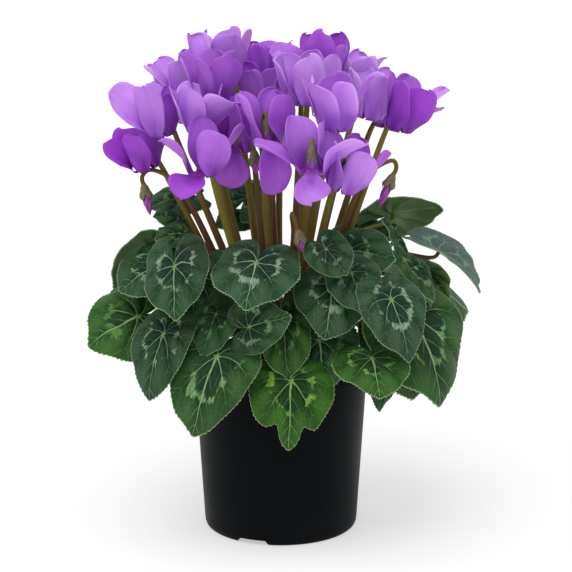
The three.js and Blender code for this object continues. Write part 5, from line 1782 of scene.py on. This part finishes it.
def studio(settings):
    """A white backdrop all round, and the surroundings' own brightness overhead."""
    world = bpy.data.worlds.new("studio")
    world.use_nodes = True
    sky = world.node_tree
    upward = node(sky, "SeparateXYZ", {0: node(sky, "TexCoord").outputs["Generated"]}).outputs[2]
    glow = ramp(sky, upward, HORIZON_TOP, SKY_FOOT, settings.horizon, settings.sky)
    backdrop = sky.nodes["Background"].inputs
    backdrop["Color"].default_value = (1, 1, 1, 1)
    feed(sky, backdrop["Strength"], glow)
    return world


class CYCLAMEN_OT_stage(bpy.types.Operator):
    """Sets the floor, the soft lights and the camera"""

    bl_idname = "cyclamen.stage"
    bl_label = "Stage"

    def execute(self, context):
        settings = context.scene.cyclamen_stage
        scene = context.scene
        half = settings.reach
        corners = [(-half, -half, 0), (half, -half, 0), (half, half, 0), (-half, half, 0)]
        mesh = bpy.data.meshes.new("floor")
        mesh.from_pydata(corners, [], [(0, 1, 2, 3)])
        mesh.materials.append(pale_floor(settings))
        floor = bpy.data.objects.new("floor", mesh)
        scene.collection.objects.link(floor)
        scene.world = studio(settings)
        lamp = bpy.data.lights.new("key", "SUN")
        lamp.energy = settings.key
        lamp.angle = settings.softness
        light = bpy.data.objects.new("key", lamp)
        light.rotation_euler = looking(SUN_WAY)
        scene.collection.objects.link(light)
        camera = bpy.data.cameras.new("camera")
        camera.sensor_width = SENSOR_WIDTH
        camera.lens = settings.lens
        camera.dof.use_dof = False
        view = bpy.data.objects.new("camera", camera)
        view.location = CAMERA_PLACE
        view.rotation_euler = looking(Vector(CAMERA_AIM) - view.location)
        scene.collection.objects.link(view)
        scene.camera = view
        scene.view_settings.view_transform = "Standard"
        return {"FINISHED"}


OPERATORS = [
    CYCLAMEN_OT_pot,
    CYCLAMEN_OT_soil,
    CYCLAMEN_OT_stalks,
    CYCLAMEN_OT_leaves,
    CYCLAMEN_OT_blooms,
    CYCLAMEN_OT_buds,
    CYCLAMEN_OT_stage,
]


class CYCLAMEN_PT_panel(bpy.types.Panel):
    """Lists the pieces of the cyclamen and their settings"""

    bl_idname = "CYCLAMEN_PT_panel"
    bl_label = "Potted Cyclamen"
    bl_space_type = "VIEW_3D"
    bl_region_type = "UI"
    bl_category = "Cyclamen"

    def draw(self, context):
        for operator in OPERATORS:
            self.layout.operator(operator.bl_idname)
        for name, group in SETTINGS.items():
            box = self.layout.box()
            box.label(text=name.replace("cyclamen_", "").title())
            for prop in group.__annotations__:
                box.prop(getattr(context.scene, name), prop)


SETTINGS = {
    "cyclamen_pot": CyclamenPotSettings,
    "cyclamen_soil": CyclamenSoilSettings,
    "cyclamen_stalks": CyclamenStalkSettings,
    "cyclamen_leaves": CyclamenLeafSettings,
    "cyclamen_blooms": CyclamenBloomSettings,
    "cyclamen_stage": CyclamenStageSettings,
}


def register():
    for group in [*SETTINGS.values(), *OPERATORS, CYCLAMEN_PT_panel]:
        bpy.utils.register_class(group)
    for name, group in SETTINGS.items():
        setattr(bpy.types.Scene, name, bpy.props.PointerProperty(type=group))


def unregister():
    for name in SETTINGS:
        delattr(bpy.types.Scene, name)
    for group in [CYCLAMEN_PT_panel, *reversed(OPERATORS), *SETTINGS.values()]:
        bpy.utils.unregister_class(group)


def main():
    """Builds every piece and the stage."""
    register()
    bpy.ops.cyclamen.pot()
    bpy.ops.cyclamen.soil()
    bpy.ops.cyclamen.stalks()
    bpy.ops.cyclamen.leaves()
    bpy.ops.cyclamen.blooms()
    bpy.ops.cyclamen.buds()
    bpy.ops.cyclamen.stage()
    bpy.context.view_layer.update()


if __name__ == "__main__":
    main()
